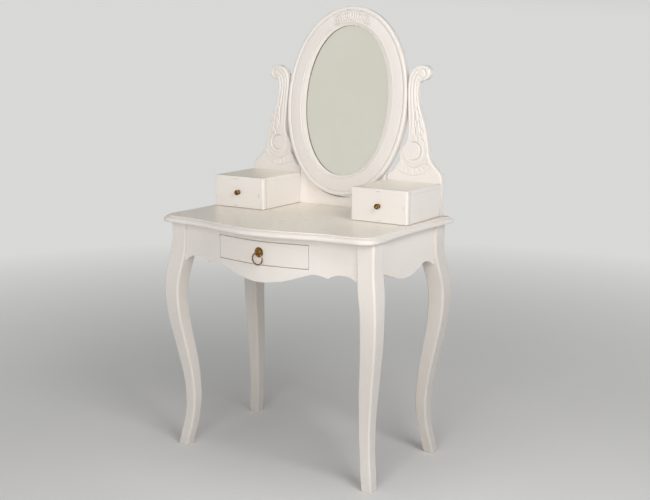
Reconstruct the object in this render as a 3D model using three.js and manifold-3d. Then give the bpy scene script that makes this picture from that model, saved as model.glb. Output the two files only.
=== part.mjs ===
// Dressing table with a tilting oval mirror, two gallery drawers and one bow-fronted drawer.
// Millimetres, +Z up. X is the width (the sitter's left is -X), the front faces -Y.
// Origin: centre of the footprint box, on the floor.
import * as THREE from 'three';
import { mergeVertices } from 'three/addons/utils/BufferGeometryUtils.js';
import Module from 'manifold-3d';

const wasm = await Module();
wasm.setup();

// ---------- driving dimensions (mm) ----------
const Y_SHIFT = 14.546;          // moves the leg-centred layout so that the footprint box is centred
const GAP = 0.3;                 // between touching pieces
const TOP_Z = 770;               // height of the table surface
const TOP_UNDER = 749.5;         // underside of the table top
const FRAME_TOP = TOP_UNDER - GAP;
const LEG_X = 371.4, LEG_Y = 210.6;   // reference lines of the four legs, outer corner of the foot
const APRON_THICK = 20;
const DRAWER_HALF = 165.5, DRAWER_LOW = 653.5, DRAWER_HIGH = 726.5;   // opening in the front apron
const BOX_IN = 166.4, BOX_OUT = 363.8, BOX_TOP = 872.1, BOX_FRONT = -5.2;   // gallery drawer boxes
const FRONT_THICK = 16;
const LEAN = 0.0643;             // lean of the mirror supports, y per z
const BOARD_Y = 199.2;           // front face of the supports at the table surface
const BOARD_THICK = 24;
const PIVOT_Y = 232, PIVOT_Z = 1111;
const MIRROR_TILT = 7.3 * Math.PI / 180;
const MIRROR_A = 228, MIRROR_B = 306;   // outer half axes of the oval frame
const SIGHT_A = 156, SIGHT_B = 242.7, SIGHT_RISE = 2.4;   // visible glass half axes, and its rise above the middle of the frame
const STEP_A = 175.5, STEP_B = 252.2;     // line where the flat of the frame steps down to its inner bevel
const OVAL_EXP = 2.07;
const PIN_R = 4;

// ---------- helpers ----------
const orient = (g) => {
  const p = g.attributes.position, ix = g.index.array;
  let vol = 0;
  const a = new THREE.Vector3(), b = new THREE.Vector3(), c = new THREE.Vector3();
  for (let i = 0; i < ix.length; i += 3) {
    a.fromBufferAttribute(p, ix[i]); b.fromBufferAttribute(p, ix[i + 1]); c.fromBufferAttribute(p, ix[i + 2]);
    vol += a.dot(b.cross(c));
  }
  if (vol < 0) for (let i = 0; i < ix.length; i += 3) { const t = ix[i]; ix[i] = ix[i + 1]; ix[i + 1] = t; }
  return g;
};
const merged = (g) => {
  for (const k of Object.keys(g.attributes)) if (k !== 'position') g.deleteAttribute(k);
  return orient(mergeVertices(g, 1e-4));
};
const mapped = (g, map) => {
  const p = g.attributes.position;
  for (let i = 0; i < p.count; i++) p.setXYZ(i, ...map(p.getX(i), p.getY(i), p.getZ(i)));
  return merged(g);
};
// prism of a closed outline [[u, v], ...], depth w; map(u, v, w) gives [x, y, z]
const prism = (outline, depth, map) => mapped(
  new THREE.ExtrudeGeometry(new THREE.Shape(outline.map(([u, v]) => new THREE.Vector2(u, v))),
    { depth, bevelEnabled: false, steps: 1 }), map);
const plan = (outline, z0, z1) => prism(outline, z1 - z0, (u, v, w) => [u, v, z0 + w]);
const elevation = (outline, y0, y1) => prism(outline, y1 - y0, (u, v, w) => [u, y0 + w, v]);
const sideView = (outline, x0, x1) => prism(outline, x1 - x0, (u, v, w) => [x0 + w, u, v]);
const box = (x0, x1, y0, y1, z0, z1) => merged(new THREE.BoxGeometry(Math.abs(x1 - x0), y1 - y0, z1 - z0)
  .translate((x0 + x1) / 2, (y0 + y1) / 2, (z0 + z1) / 2));
// stacked rings of equal count, closed at both ends
const loft = (rings, capMap = ([x, y]) => [x, y]) => {
  const n = rings[0].length, pos = [], ix = [];
  for (const r of rings) for (const q of r) pos.push(...q);
  for (let k = 0; k + 1 < rings.length; k++) for (let i = 0; i < n; i++) {
    const j = (i + 1) % n, a = k * n + i, b = k * n + j, c = a + n, d = b + n;
    ix.push(a, b, d, a, d, c);
  }
  const ccw = THREE.ShapeUtils.area(rings[0].map((q) => new THREE.Vector2(...capMap(q)))) > 0;
  const cap = (k, up) => {
    const contour = rings[k].map((q) => new THREE.Vector2(...capMap(q)));
    for (const t of THREE.ShapeUtils.triangulateShape(contour, [])) {
      const left = THREE.ShapeUtils.area(t.map((i) => contour[i])) > 0;
      const f = t.map((i) => k * n + i);
      ix.push(...(left === (ccw === up) ? f : [f[0], f[2], f[1]]));
    }
  };
  cap(0, false); cap(rings.length - 1, true);
  const g = new THREE.BufferGeometry();
  g.setAttribute('position', new THREE.Float32BufferAttribute(pos, 3));
  g.setIndex(ix);
  return merged(g);
};
// closed ring of closed sections: sections[i][j] = [x, y, z]
const torusLike = (sections) => {
  const n = sections.length, m = sections[0].length, pos = sections.flat(2), ix = [];
  for (let i = 0; i < n; i++) for (let j = 0; j < m; j++) {
    const a = i * m + j, b = i * m + (j + 1) % m, c = ((i + 1) % n) * m + j, d = ((i + 1) % n) * m + (j + 1) % m;
    ix.push(a, b, d, a, d, c);
  }
  const g = new THREE.BufferGeometry();
  g.setAttribute('position', new THREE.Float32BufferAttribute(pos, 3));
  g.setIndex(ix);
  return merged(g);
};
const lathe = (profile, segs) => merged(new THREE.LatheGeometry(profile.map(([r, h]) => new THREE.Vector2(r, h)), segs));
const solid = (g) => new wasm.Manifold(new wasm.Mesh({
  numProp: 3,
  vertProperties: new Float32Array(g.attributes.position.array),
  triVerts: new Uint32Array(g.index.array),
}));
const geometryOf = (m) => {
  const mesh = m.getMesh(), g = new THREE.BufferGeometry(), np = mesh.numProp, src = mesh.vertProperties;
  const pos = new Float32Array((src.length / np) * 3);
  for (let i = 0; i < src.length / np; i++) for (let k = 0; k < 3; k++) pos[i * 3 + k] = src[i * np + k];
  g.setAttribute('position', new THREE.BufferAttribute(pos, 3));
  g.setIndex(Array.from(mesh.triVerts));
  return g;
};
const cut = (g, ...tools) => { let m = solid(g); for (const t of tools) m = m.subtract(solid(t)); return geometryOf(m); };
const join = (g, ...more) => { let m = solid(g); for (const t of more) m = m.add(solid(t)); return geometryOf(m); };
const common = (g, ...more) => { let m = solid(g); for (const t of more) m = m.intersect(solid(t)); return geometryOf(m); };
// monotone cubic through (xs, ys)
const smooth = (xs, ys) => {
  const n = xs.length, h = [], d = [], m = new Array(n).fill(0);
  for (let i = 0; i + 1 < n; i++) { h.push(xs[i + 1] - xs[i]); d.push((ys[i + 1] - ys[i]) / h[i]); }
  for (let i = 1; i + 1 < n; i++) if (d[i - 1] * d[i] > 0) {
    const w1 = 2 * h[i] + h[i - 1], w2 = h[i] + 2 * h[i - 1];
    m[i] = (w1 + w2) / (w1 / d[i - 1] + w2 / d[i]);
  }
  m[0] = 0; m[n - 1] = d[n - 2];
  return (x) => {
    if (x <= xs[0]) return ys[0];
    if (x >= xs[n - 1]) return ys[n - 1];
    let i = 0; while (x > xs[i + 1]) i++;
    const t = (x - xs[i]) / h[i], t2 = t * t, t3 = t2 * t;
    return (2 * t3 - 3 * t2 + 1) * ys[i] + (t3 - 2 * t2 + t) * h[i] * m[i] + (-2 * t3 + 3 * t2) * ys[i + 1] + (t3 - t2) * h[i] * m[i + 1];
  };
};
const mirrorX = (pts) => pts.map(([x, y]) => [-x, y]);

const table = new THREE.Group();
const PAINT = { color: 0xf0ebe2, roughness: 0.42, metalness: 0 };
const BARE = { color: 0xc9b48f, roughness: 0.7, metalness: 0 };
const BRASS = { color: 0x8a6534, roughness: 0.38, metalness: 0.9 };
const STEEL = { color: 0x9a9892, roughness: 0.4, metalness: 0.9 };
const GLASS = { color: 0xcfd2c4, roughness: 0.04, metalness: 1 };
const PLY = { color: 0xb99a6a, roughness: 0.75, metalness: 0 };
const put = (name, geometry, finish) => {
  const g = geometry.clone();
  g.computeVertexNormals();
  const mesh = new THREE.Mesh(g, new THREE.MeshStandardMaterial(finish));
  mesh.name = name;
  table.add(mesh);
};

// ---------- table top ----------
const topFront = smooth([0, 30, 60, 98, 125, 150, 175, 200, 225, 250, 275, 300, 325, 345],
  [-311, -309.4, -305.2, -298.2, -292.6, -286.5, -280, -274, -269.4, -266, -263.7, -262.3, -261.6, -260.6]);
const topSide = smooth([-195, -164, -100, -30, 30, 96, 157, 200, 218], [392.5, 391, 388.4, 387.4, 387.8, 390.3, 395, 399.3, 401]);
const topHalf = () => {
  const pts = [];
  for (const x of [0, 24, 48, 72, 96, 120, 144, 168, 192, 216, 240, 265, 290, 318]) pts.push([x, topFront(x)]);
  pts.push([345, -260.6], [357, -258.2], [368, -253.6], [377.5, -246.4], [385, -236.5], [390, -224], [392.3, -210]);
  for (const y of [-195, -164, -130, -90, -45, 0, 45, 90, 130, 165, 195]) pts.push([topSide(y), y]);
  pts.push([401, 218], [399.3, 226.4], [394.6, 233.6], [387.4, 238.3], [379, 240], [240, 240], [120, 240]);
  return pts;
};
const topOutline = () => {
  const half = topHalf();
  return [...half, [0, 240], ...mirrorX(half.slice(1)).reverse()];
};
const inset = (pts, d) => pts.map(([x, y], i) => {
  const [ax, ay] = pts[(i + pts.length - 1) % pts.length], [bx, by] = pts[(i + 1) % pts.length];
  const l = Math.hypot(bx - ax, by - ay), tx = (bx - ax) / l, ty = (by - ay) / l;
  return [x - ty * d, y + tx * d];
});
{
  const outline = topOutline();
  const levels = [[TOP_UNDER, 5], [752.5, 0.8], [756.5, 0], [761.5, 2.6], [765, 9], [767.2, 14], [TOP_Z, 17]];
  put('table_top', loft(levels.map(([z, d]) => inset(outline, d).map(([x, y]) => [x, y, z]))), PAINT);
}

// ---------- cabriole legs ----------
const LEG_Z = [0, 40, 90, 150, 220, 290, 360, 430, 500, 560, 610, 660, 748];
const legOut = smooth(LEG_Z, [0, -6, -14.7, -18.4, -15.5, -6, 5.3, 16.6, 22.6, 21.4, 14.7, 6.4, 6.2]);
const legIn = smooth(LEG_Z, [-35.2, -44.3, -52, -57.8, -57, -52, -43.5, -35.4, -32.2, -35.7, -45.5, -52, -55.1]);
const LEG_STATIONS = [0, 40, 90, 120, 150, 185, 220, 255, 290, 325, 360, 395, 430, 465, 500, 530, 560, 585, 610, 635, 660, 700, FRAME_TOP];
const TENON = 22, TENON_LOW = 664, TENON_HIGH = 732;
const APRON_END_Y = -208;        // front apron face beside the legs
const SIDE_END_X = 368.5;        // side apron face beside the legs
const BACK_Y = [194, 212];       // back apron thickness
{
  const leg = (sx, sy) => {
    const rings = LEG_STATIONS.map((z) => {
      const a = legIn(z), b = legOut(z), c = z === 0 ? 3 : 4.5;
      const x0 = LEG_X + a, x1 = LEG_X + b, y0 = LEG_Y + a, y1 = LEG_Y + b;
      return [[x0 + c, y0], [x1 - c, y0], [x1, y0 + c], [x1, y1 - c], [x1 - c, y1], [x0 + c, y1], [x0, y1 - c], [x0, y0 + c]]
        .map(([x, y]) => [sx * x, sy * y, z]);
    });
    const body = loft(rings);
    const X = (a, b) => (sx > 0 ? [a, b] : [-b, -a]), Y = (a, b) => (sy > 0 ? [a, b] : [-b, -a]);
    const end = LEG_X + legIn(FRAME_TOP);
    const yMid = sy < 0 ? -APRON_END_Y - APRON_THICK / 2 : (BACK_Y[0] + BACK_Y[1]) / 2;
    const xMid = SIDE_END_X - APRON_THICK / 2;
    return cut(body,
      box(...X(end - 8, end + TENON + GAP), ...Y(yMid - 5 - GAP, yMid + 5 + GAP), TENON_LOW - GAP, TENON_HIGH + GAP),
      box(...X(xMid - 5 - GAP, xMid + 5 + GAP), ...Y(LEG_Y + legIn(FRAME_TOP) - 8, LEG_Y + legIn(FRAME_TOP) + TENON + GAP), TENON_LOW - GAP, TENON_HIGH + GAP));
  };
  put('leg_front_left', leg(-1, -1), PAINT);
  put('leg_front_right', leg(1, -1), PAINT);
  put('leg_back_left', leg(-1, 1), PAINT);
  put('leg_back_right', leg(1, 1), PAINT);
}

// ---------- aprons ----------
const apronFace = smooth([0, 40, 80, 120, 160, 200, 225, 250, 275, 300, 330],
  [-255, -252.5, -246.8, -239.8, -232, -223.2, -217.2, -212.8, -210, -208.6, -208]);
const apronInner = (x) => apronFace(x) + APRON_THICK;
const contourHalf = [[0, 600.5], [20, 601.2], [36, 603], [53, 605.2], [69, 608], [85, 611.5], [100, 615.6], [118, 621.2],
  [134, 626.4], [150, 631.6], [163, 635.8], [176, 638.4], [190, 638.4], [204, 635.8], [214, 632.8], [222.5, 630],
  [231, 635], [241, 639], [253, 641.9], [266, 642.9], [279, 642.5], [290, 640.8], [301, 637.2], [311, 631.6], [318, 626]];
const legInnerX = (z) => LEG_X + legIn(z) - GAP;
{
  const xs = [330, 300, 275, 250, 225, 200, 180, 160, 140, 120, 100, 80, 60, 40, 20, 0];
  const front = [...xs.map((x) => [-x, apronFace(x)]), ...xs.slice(0, -1).reverse().map((x) => [x, apronFace(x)])];
  const rear = [...xs.map((x) => [x, apronInner(x)]), ...xs.slice(0, -1).reverse().map((x) => [-x, apronInner(x)])];
  const body = plan([...front, ...rear], 590, FRAME_TOP);
  const ends = [610, 622, 640, 660, 690, 720, FRAME_TOP];
  const right = [...contourHalf.slice(1), [legInnerX(620), 620], ...ends.slice(1).map((z) => [legInnerX(z), z])];
  const face = elevation([[0, 600.5], ...right, ...mirrorX(right).reverse()], -320, -150);
  const yMid = APRON_END_Y + APRON_THICK / 2, e = LEG_X + legIn(FRAME_TOP);
  const tenons = [-1, 1].map((s) => box(...(s > 0 ? [e - 12, e + TENON] : [-e - TENON, -e + 12]), yMid - 5, yMid + 5, TENON_LOW, TENON_HIGH));
  const board = common(body, face);
  put('front_apron', cut(join(board, ...tenons), box(-DRAWER_HALF, DRAWER_HALF, -330, -150, DRAWER_LOW, DRAWER_HIGH)), PAINT);
}
const sideFace = smooth([0, 60, 110, 155], [362, 363.2, 365.8, SIDE_END_X]);
const sideContour = [[-147, 648.2], [-134, 644.5], [-120, 640], [-105, 635], [-90, 630], [-75, 625.2], [-60, 620.8], [-40, 616],
  [-20, 612.8], [0, 611.3], [15, 611.5], [30, 613.5], [45, 617.5], [60, 623], [72, 628.5], [85, 634.5], [97, 639.5], [110, 642.3],
  [122, 641.6], [135, 637.5], [147, 632.4]];
{
  const side = (s) => {
    const ys = [-166, -155, -110, -60, -25, 0, 25, 60, 110, 155, 166];
    const outer = ys.map((y) => [s * sideFace(Math.abs(y)), y]);
    const inner = ys.slice().reverse().map((y) => [s * (sideFace(Math.abs(y)) - APRON_THICK), y]);
    const body = plan([...outer, ...inner], 600, FRAME_TOP);
    const yEnd = (z) => LEG_Y + legIn(z) - GAP;
    const zs = [660, 690, 720, FRAME_TOP];
    const face = sideView([...sideContour, [yEnd(630), 628.5], [yEnd(645), 645], ...zs.map((z) => [yEnd(z), z]),
      ...zs.slice().reverse().map((z) => [-yEnd(z), z]), [-yEnd(652), 652]], 300 * s - (s < 0 ? 100 : 0), 300 * s + (s < 0 ? 0 : 100));
    const xMid = s * (SIDE_END_X - APRON_THICK / 2), e = LEG_Y + legIn(FRAME_TOP);
    const tenons = [-1, 1].map((t) => box(xMid - 5, xMid + 5, ...(t > 0 ? [e - 12, e + TENON] : [-e - TENON, -e + 12]), TENON_LOW, TENON_HIGH));
    return join(common(body, face), ...tenons);
  };
  put('side_apron_left', side(-1), PAINT);
  put('side_apron_right', side(1), PAINT);
  const zs = [655, 690, 720, FRAME_TOP];
  const e = LEG_X + legIn(FRAME_TOP), yMid = (BACK_Y[0] + BACK_Y[1]) / 2;
  const right = zs.map((z) => [legInnerX(z), z]);
  const board = elevation([...right, ...mirrorX(right).reverse()], ...BACK_Y);
  const tenons = [-1, 1].map((s) => box(...(s > 0 ? [e - 12, e + TENON] : [-e - TENON, -e + 12]), yMid - 5, yMid + 5, TENON_LOW, TENON_HIGH));
  put('back_apron', join(board, ...tenons), PAINT);
}

// ---------- corner blocks, runners and kickers inside the frame ----------
{
  const legC = LEG_X + legIn(FRAME_TOP) - 0.8, legCY = LEG_Y + legIn(FRAME_TOP) - 0.8;
  const front = -APRON_END_Y - APRON_THICK - 1.4, back = BACK_Y[0] - GAP, side = (y) => sideFace(y) - APRON_THICK - 0.8;
  const block = (sx, sy) => {
    const yFace = sy < 0 ? front : back;
    const pts = sy < 0
      ? [[258, yFace - 2.4], [285, yFace - 0.4], [legC, yFace], [legC, legCY], [side(150), legCY], [side(96), 96]]
      : [[255, yFace], [legC, yFace], [legC, legCY], [side(150), legCY], [side(100), 100]];
    return plan(pts.map(([x, y]) => [sx * x, sy * y]), 690, 745);
  };
  put('corner_block_front_left', block(-1, -1), BARE);
  put('corner_block_front_right', block(1, -1), BARE);
  put('corner_block_back_left', block(-1, 1), BARE);
  put('corner_block_back_right', block(1, 1), BARE);

  const innerCurve = [];
  // the bars stop behind the drawer front, and meet the apron beside it
  innerCurve.push([130, -209.4], [165.8, -209.4]);
  for (const x of [166, 172, 178, 184, 200]) innerCurve.push([x, Math.max(apronInner(x) + GAP, x === 166 ? -209.4 : -400)]);
  const shy = (s) => plan([[s * 130, -330], ...innerCurve.map(([x, y]) => [s * x, y]), [s * 200, -330]], 600, 800);
  const bar = (s, outline) => cut(elevation(outline.map(([x, z]) => [s * x, z]), -260, BACK_Y[0] - GAP), shy(s));
  const runner = [[146, 641], [184, 641], [184, 700], [162, 700], [162, 657.2], [146, 657.2]];
  const kicker = [[143, 721], [172, 721], [172, FRAME_TOP], [143, FRAME_TOP]];
  put('drawer_runner_left', bar(-1, runner), BARE);
  put('drawer_runner_right', bar(1, runner), BARE);
  put('drawer_kicker_left', bar(-1, kicker), BARE);
  put('drawer_kicker_right', bar(1, kicker), BARE);
}

// ---------- centre drawer ----------
const DF = DRAWER_HALF - 1.5;    // half width of the bowed drawer front
const DRAWER_BACK_FACE = -210;   // flat inner face of the bowed front
const PULL_X = 3, PULL_Z = 692;
const ROSE_Y = apronFace(PULL_X) - GAP;
{
  const xs = []; for (let i = 0; i <= 16; i++) xs.push(-DF + (2 * DF * i) / 16);
  const front = plan([...xs.map((x) => [x, apronFace(Math.abs(x))]), [DF, DRAWER_BACK_FACE], [-DF, DRAWER_BACK_FACE]], 655, 725);
  const bolt = merged(new THREE.CylinderGeometry(2.6, 2.6, 120, 12).translate(PULL_X, -230, PULL_Z));
  const groove = box(-154.6, 154.6, DRAWER_BACK_FACE - 5, DRAWER_BACK_FACE + 5, 665.7, 670.3);
  put('centre_drawer_front', cut(front, bolt, groove), PAINT);
  const sidePost = [[149.5, 657.6], [159.5, 657.6], [159.5, 718], [149.5, 718], [149.5, 670.3], [154.5, 670.3], [154.5, 665.7], [149.5, 665.7]];
  const sy0 = DRAWER_BACK_FACE + GAP, sy1 = 116;
  put('centre_drawer_side_left', elevation(mirrorX(sidePost), sy0, sy1), BARE);
  put('centre_drawer_side_right', elevation(sidePost, sy0, sy1), BARE);
  put('centre_drawer_back', box(-149.2, 149.2, sy1 - 11, sy1, 670.4, 716), BARE);
  put('centre_drawer_bottom', box(-154.2, 154.2, DRAWER_BACK_FACE - 4.6, sy1, 666, 670), PLY);
}

// ---------- ring pull ----------
const RING_R = 18, RING_WIRE = 2, EYE_R = 3.4;
const RING_Y = ROSE_Y - 9;       // plane in which the ring hangs
const HOLE_Z = PULL_Z + 1;       // eye through which the ring passes
{
  const rose = lathe([[2.6 + GAP, 0], [15.5, 0], [15.5, 1], [13.8, 2.2], [10, 2.8], [5.5, 3.6], [2.6 + GAP, 3.6], [2.6 + GAP, 0]], 28);
  rose.rotateX(Math.PI);
  put('pull_rosette', rose.translate(PULL_X, ROSE_Y, PULL_Z), BRASS);
  // stem with a drilled head, threaded end behind the drawer front
  const stem = merged(new THREE.CylinderGeometry(2.2, 2.2, DRAWER_BACK_FACE + 9 - (ROSE_Y - 5), 12)
    .translate(PULL_X, (DRAWER_BACK_FACE + 9 + ROSE_Y - 5) / 2, PULL_Z));
  const head = merged(new THREE.CylinderGeometry(5.2, 5.2, 6.5, 16).rotateZ(Math.PI / 2).translate(PULL_X, RING_Y, HOLE_Z - 1));
  const eye = merged(new THREE.CylinderGeometry(RING_WIRE + 0.45, RING_WIRE + 0.45, 20, 12).rotateZ(Math.PI / 2).translate(PULL_X, RING_Y, HOLE_Z - 1));
  put('pull_post', cut(join(stem, head), eye), BRASS);
  const sections = [], N = 28, M = 8;
  for (let i = 0; i < N; i++) {
    const a = (2 * Math.PI * i) / N, row = [];
    for (let j = 0; j < M; j++) {
      const b = (2 * Math.PI * (j + 0.5)) / M, r = RING_R + RING_WIRE * Math.cos(b);
      row.push([PULL_X + r * Math.sin(a), RING_Y + RING_WIRE * Math.sin(b), HOLE_Z - 1 - RING_R + r * Math.cos(a)]);
    }
    sections.push(row);
  }
  put('pull_ring', torusLike(sections), BRASS);
  const nut = lathe([[2.9, 0], [6, 0], [6, 3.5], [2.9, 3.5], [2.9, 0]], 6);
  put('pull_nut', nut.translate(PULL_X, DRAWER_BACK_FACE + GAP, PULL_Z), BRASS);
}

// ---------- gallery boxes ----------
const boardY = (z) => BOARD_Y + LEAN * (z - TOP_Z);
const BF = BOX_FRONT + FRONT_THICK + GAP;   // front edge of the fixed box
for (const [s, side] of [[-1, 'left'], [1, 'right']]) {
  const X = (a, b) => (s > 0 ? [a, b] : [-b, -a]);
  const slanted = (z0, z1) => [[BF, z0], [boardY(z0) - GAP, z0], [boardY(z1) - GAP, z1], [BF, z1]];
  const board = (a, b, z0, z1) => sideView(slanted(z0, z1), ...X(a, b));
  put(`${side}_box_top`, board(BOX_IN, BOX_OUT, BOX_TOP - 11.7, BOX_TOP), PAINT);
  put(`${side}_box_outer_side`, board(BOX_OUT - 11, BOX_OUT, TOP_Z + GAP, BOX_TOP - 12), PAINT);
  put(`${side}_box_inner_side`, board(BOX_IN, BOX_IN + 11, TOP_Z + GAP, BOX_TOP - 12), PAINT);
  put(`${side}_box_bottom`, board(BOX_IN + 11 + GAP, BOX_OUT - 11 - GAP, TOP_Z + GAP, TOP_Z + 10), BARE);

  // drawer: overlay front, two sides, back, bottom
  const cx = s * (BOX_IN + BOX_OUT) / 2, kz = (TOP_Z + BOX_TOP) / 2;
  const d0 = BOX_IN + 11 + 1.6, d1 = BOX_OUT - 11 - 1.6, dz0 = TOP_Z + 10.4, dz1 = dz0 + 74, dEnd = 181;
  const screwHole = merged(new THREE.CylinderGeometry(2.3, 2.3, 60, 12).translate(cx, 0, kz));
  const frontGroove = box(...X(d0 + 4, d1 - 4), BF - GAP - 5, BF + 5, dz0 + 6 - GAP, dz0 + 10 + GAP);
  put(`${side}_drawer_front`, cut(box(...X(BOX_IN, BOX_OUT), BOX_FRONT, BF - GAP, TOP_Z + 0.8, BOX_TOP), screwHole, frontGroove), PAINT);
  const y0 = BF, t = 8;
  const post = (a, dir) => [[a, dz0], [a + dir * t, dz0], [a + dir * t, dz0 + 6 - GAP], [a + dir * (t - 4), dz0 + 6 - GAP],
    [a + dir * (t - 4), dz0 + 10 + GAP], [a + dir * t, dz0 + 10 + GAP], [a + dir * t, dz1], [a, dz1]].map(([x, z]) => [s * x, z]);
  put(`${side}_drawer_inner_side`, elevation(post(d0, 1), y0, dEnd), BARE);
  put(`${side}_drawer_outer_side`, elevation(post(d1, -1), y0, dEnd), BARE);
  put(`${side}_drawer_back`, box(...X(d0 + t + GAP, d1 - t - GAP), dEnd - 9, dEnd, dz0 + 10 + GAP, dz1 - 2), BARE);
  put(`${side}_drawer_bottom`, box(...X(d0 + 4 + GAP, d1 - 4 - GAP), BF - 4.9, dEnd, dz0 + 6, dz0 + 10), PLY);

  // turned knob, its back plate and the screw from inside
  const plate = lathe([[2.3 + GAP, 0], [7, 0], [6.6, 1], [4.6, 1.8], [2.3 + GAP, 1.8], [2.3 + GAP, 0]], 20);
  plate.rotateX(Math.PI);
  put(`${side}_knob_plate`, plate.translate(cx, BOX_FRONT - GAP, kz), BRASS);
  const knob = lathe([[0, 4], [1.9 + GAP, 4], [1.9 + GAP, 0], [4.2, 0], [3.6, 2.5], [4.2, 5], [7, 7], [8.4, 9.6], [7.9, 12.2], [5.4, 14], [0, 14.8]], 20);
  knob.rotateX(Math.PI);
  put(`${side}_knob`, knob.translate(cx, BOX_FRONT - 1.8 - 2 * GAP, kz), BRASS);
  const screw = lathe([[0, 0], [1.9, 0], [1.9, 21.3], [4.4, 21.3], [4.4, 22.6], [3.2, 24], [0, 24]], 12);
  screw.translate(cx, BF - 21.3, kz);
  put(`${side}_knob_screw`, screw, STEEL);
}

// ---------- leaning back board and mirror supports ----------
const leaning = (outline) => prism(outline, BOARD_THICK, (u, v, w) => [u, boardY(v) + w, v]);
const pin = (s, r, a, b) => {
  const g = new THREE.CylinderGeometry(r, r, b - a, 16).rotateZ(Math.PI / 2);
  return merged(g.translate(s * (a + b) / 2, PIVOT_Y, PIVOT_Z));
};
const ovalPoint = (a, b, t) => {
  const e = 2 / OVAL_EXP, s = Math.sin(t), c = Math.cos(t);
  return [a * Math.sign(s) * Math.abs(s) ** e, b * Math.sign(c) * Math.abs(c) ** e];
};
{
  const scoop = [];
  for (let i = -10; i <= 10; i++) {
    const x = (154 * i) / 10, A = MIRROR_A + 3.6, B = MIRROR_B + 4.2;
    scoop.push([x, PIVOT_Z - B * (1 - Math.abs(x / A) ** OVAL_EXP) ** (1 / OVAL_EXP)]);
  }
  const panel = [[-166.1, TOP_Z + GAP], [166.1, TOP_Z + GAP], [166.1, 888.6], [160, 883.4], ...scoop.reverse(), [-160, 883.4], [-166.1, 888.6]];
  put('back_panel', leaning(panel), PAINT);
  const support = [[166.5, TOP_Z + GAP], [363.8, TOP_Z + GAP], [363.8, 878], [362.8, 888], [359, 898], [351, 908], [342, 917], [332, 927],
    [322.5, 938], [316.5, 949], [313, 961], [311, 976], [308.5, 992], [304.5, 1012], [299.5, 1032], [293.5, 1051], [287, 1070], [281, 1087],
    [275.5, 1104], [271.3, 1120], [268.8, 1136], [267.8, 1152], [268.2, 1166], [270, 1177], [276, 1180.6], [284, 1181.6], [292, 1184], [299, 1190],
    [303.2, 1198], [304.4, 1206.5], [301.5, 1215], [295.5, 1221.6], [287, 1225.8], [275, 1227.6], [262, 1226.4], [250, 1221.8],
    [240.5, 1214], [233.5, 1203.5], [229.6, 1191], [228.2, 1176], [228.4, 1158], [229.6, 1138], [230.8, 1118], [232.4, 1098],
    [234.6, 1074], [236.5, 1050], [236.9, 1026], [235, 1006], [229, 991], [218, 979], [210.5, 966], [208.3, 954], [210.3, 944],
    [213, 938.6], [206.6, 930], [200.6, 923.4], [195.4, 913], [186, 902.6], [176, 896.2], [166.5, 889]];
  // each support is carved by hand: the right scroll stands a little higher, the left one reaches further out
  const ramp = (a, b, v) => { const t = Math.min(1, Math.max(0, (v - a) / (b - a))); return t * t * (3 - 2 * t); };
  const carvedRight = support.map(([x, z]) => {
    const t = ramp(1150, 1186, z);
    return [x + 1.4 * t - (x > 250 ? 2.2 * ramp(1060, 1110, z) * (1 - t) : 0), z + 4.8 * t];
  });
  const carvedLeft = support.map(([x, z]) => {
    const t = ramp(1150, 1186, z);
    return [x + (x > 250 ? 3.6 * t + 2 * ramp(1000, 1050, z) * (1 - t) : 1.6 * t), z - 3.2 * t - (x < 262 ? 1.6 * t : 0)];
  });
  for (const [s, side] of [[-1, 'left'], [1, 'right']]) {
    const outline = s > 0 ? carvedRight : mirrorX(carvedLeft).reverse();
    put(`mirror_support_${side}`, cut(leaning(outline), pin(s, PIN_R + GAP, 200, 254)), PAINT);
  }
}

// ---------- tilting mirror ----------
{
  const N = 56, ct = Math.cos(MIRROR_TILT), st = Math.sin(MIRROR_TILT);
  // in the mirror's plane: u across, v up, n towards the back
  const place = (u, v, n) => [u, PIVOT_Y + v * st + n * ct, PIVOT_Z + v * ct - n * st];
  const CURVES = [[SIGHT_A, SIGHT_B], [MIRROR_A, MIRROR_B], [STEP_A, STEP_B]];
  // the sight opening sits SIGHT_RISE above the middle of the outer oval
  const ovalAt = (curve, off, t) => {
    const [u, v] = ovalPoint(CURVES[curve][0] + off, CURVES[curve][1] + off, t);
    return [u, curve === 1 ? v : v + SIGHT_RISE];
  };
  // [curve, offset, n]: rounded rim and groove, flat, step, inner bevel, lip over the glass, rabbet, back
  const profile = [[1, 0, -6], [1, -1.6, -10.4], [1, -5, -12.6], [1, -10, -12.4], [1, -14.5, -9.4], [1, -18, -10.4], [2, 12, -11.2],
    [2, 1.2, -11], [2, -2.5, -9.6], [0, 0, -5.4], [0, 0, -2], [0, 7, -2], [0, 7, 11.5], [1, -3, 11.5], [1, 0, 8.5]];
  const sections = [];
  for (let i = 0; i < N; i++) {
    const t = (2 * Math.PI * i) / N;
    sections.push(profile.map(([curve, off, n]) => { const [u, v] = ovalAt(curve, off, t); return place(u, v, n); }));
  }
  const ring = torusLike(sections);
  put('mirror_frame', cut(ring, pin(-1, PIN_R + GAP, 204, 240), pin(1, PIN_R + GAP, 204, 240)), PAINT);
  const disc = (off, n0, n1) => {
    const pts = []; for (let i = 0; i < N; i++) pts.push(ovalAt(0, off, (2 * Math.PI * i) / N));
    return prism(pts, n1 - n0, (u, v, w) => place(u, v, n0 + w));
  };
  put('mirror_glass', disc(6.6, -1.7, 2.3), GLASS);
  put('mirror_backing', disc(6.6, 2.6, 8.6), PLY);
  put('mirror_pivot_left', pin(-1, PIN_R, 205, 253), STEEL);
  put('mirror_pivot_right', pin(1, PIN_R, 205, 253), STEEL);
}

table.position.y = Y_SHIFT;
table.updateMatrixWorld(true);
export default table;
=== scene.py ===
import math

import bmesh
import bpy
import numpy as np
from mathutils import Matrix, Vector
from mathutils.geometry import delaunay_2d_cdt

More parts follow.
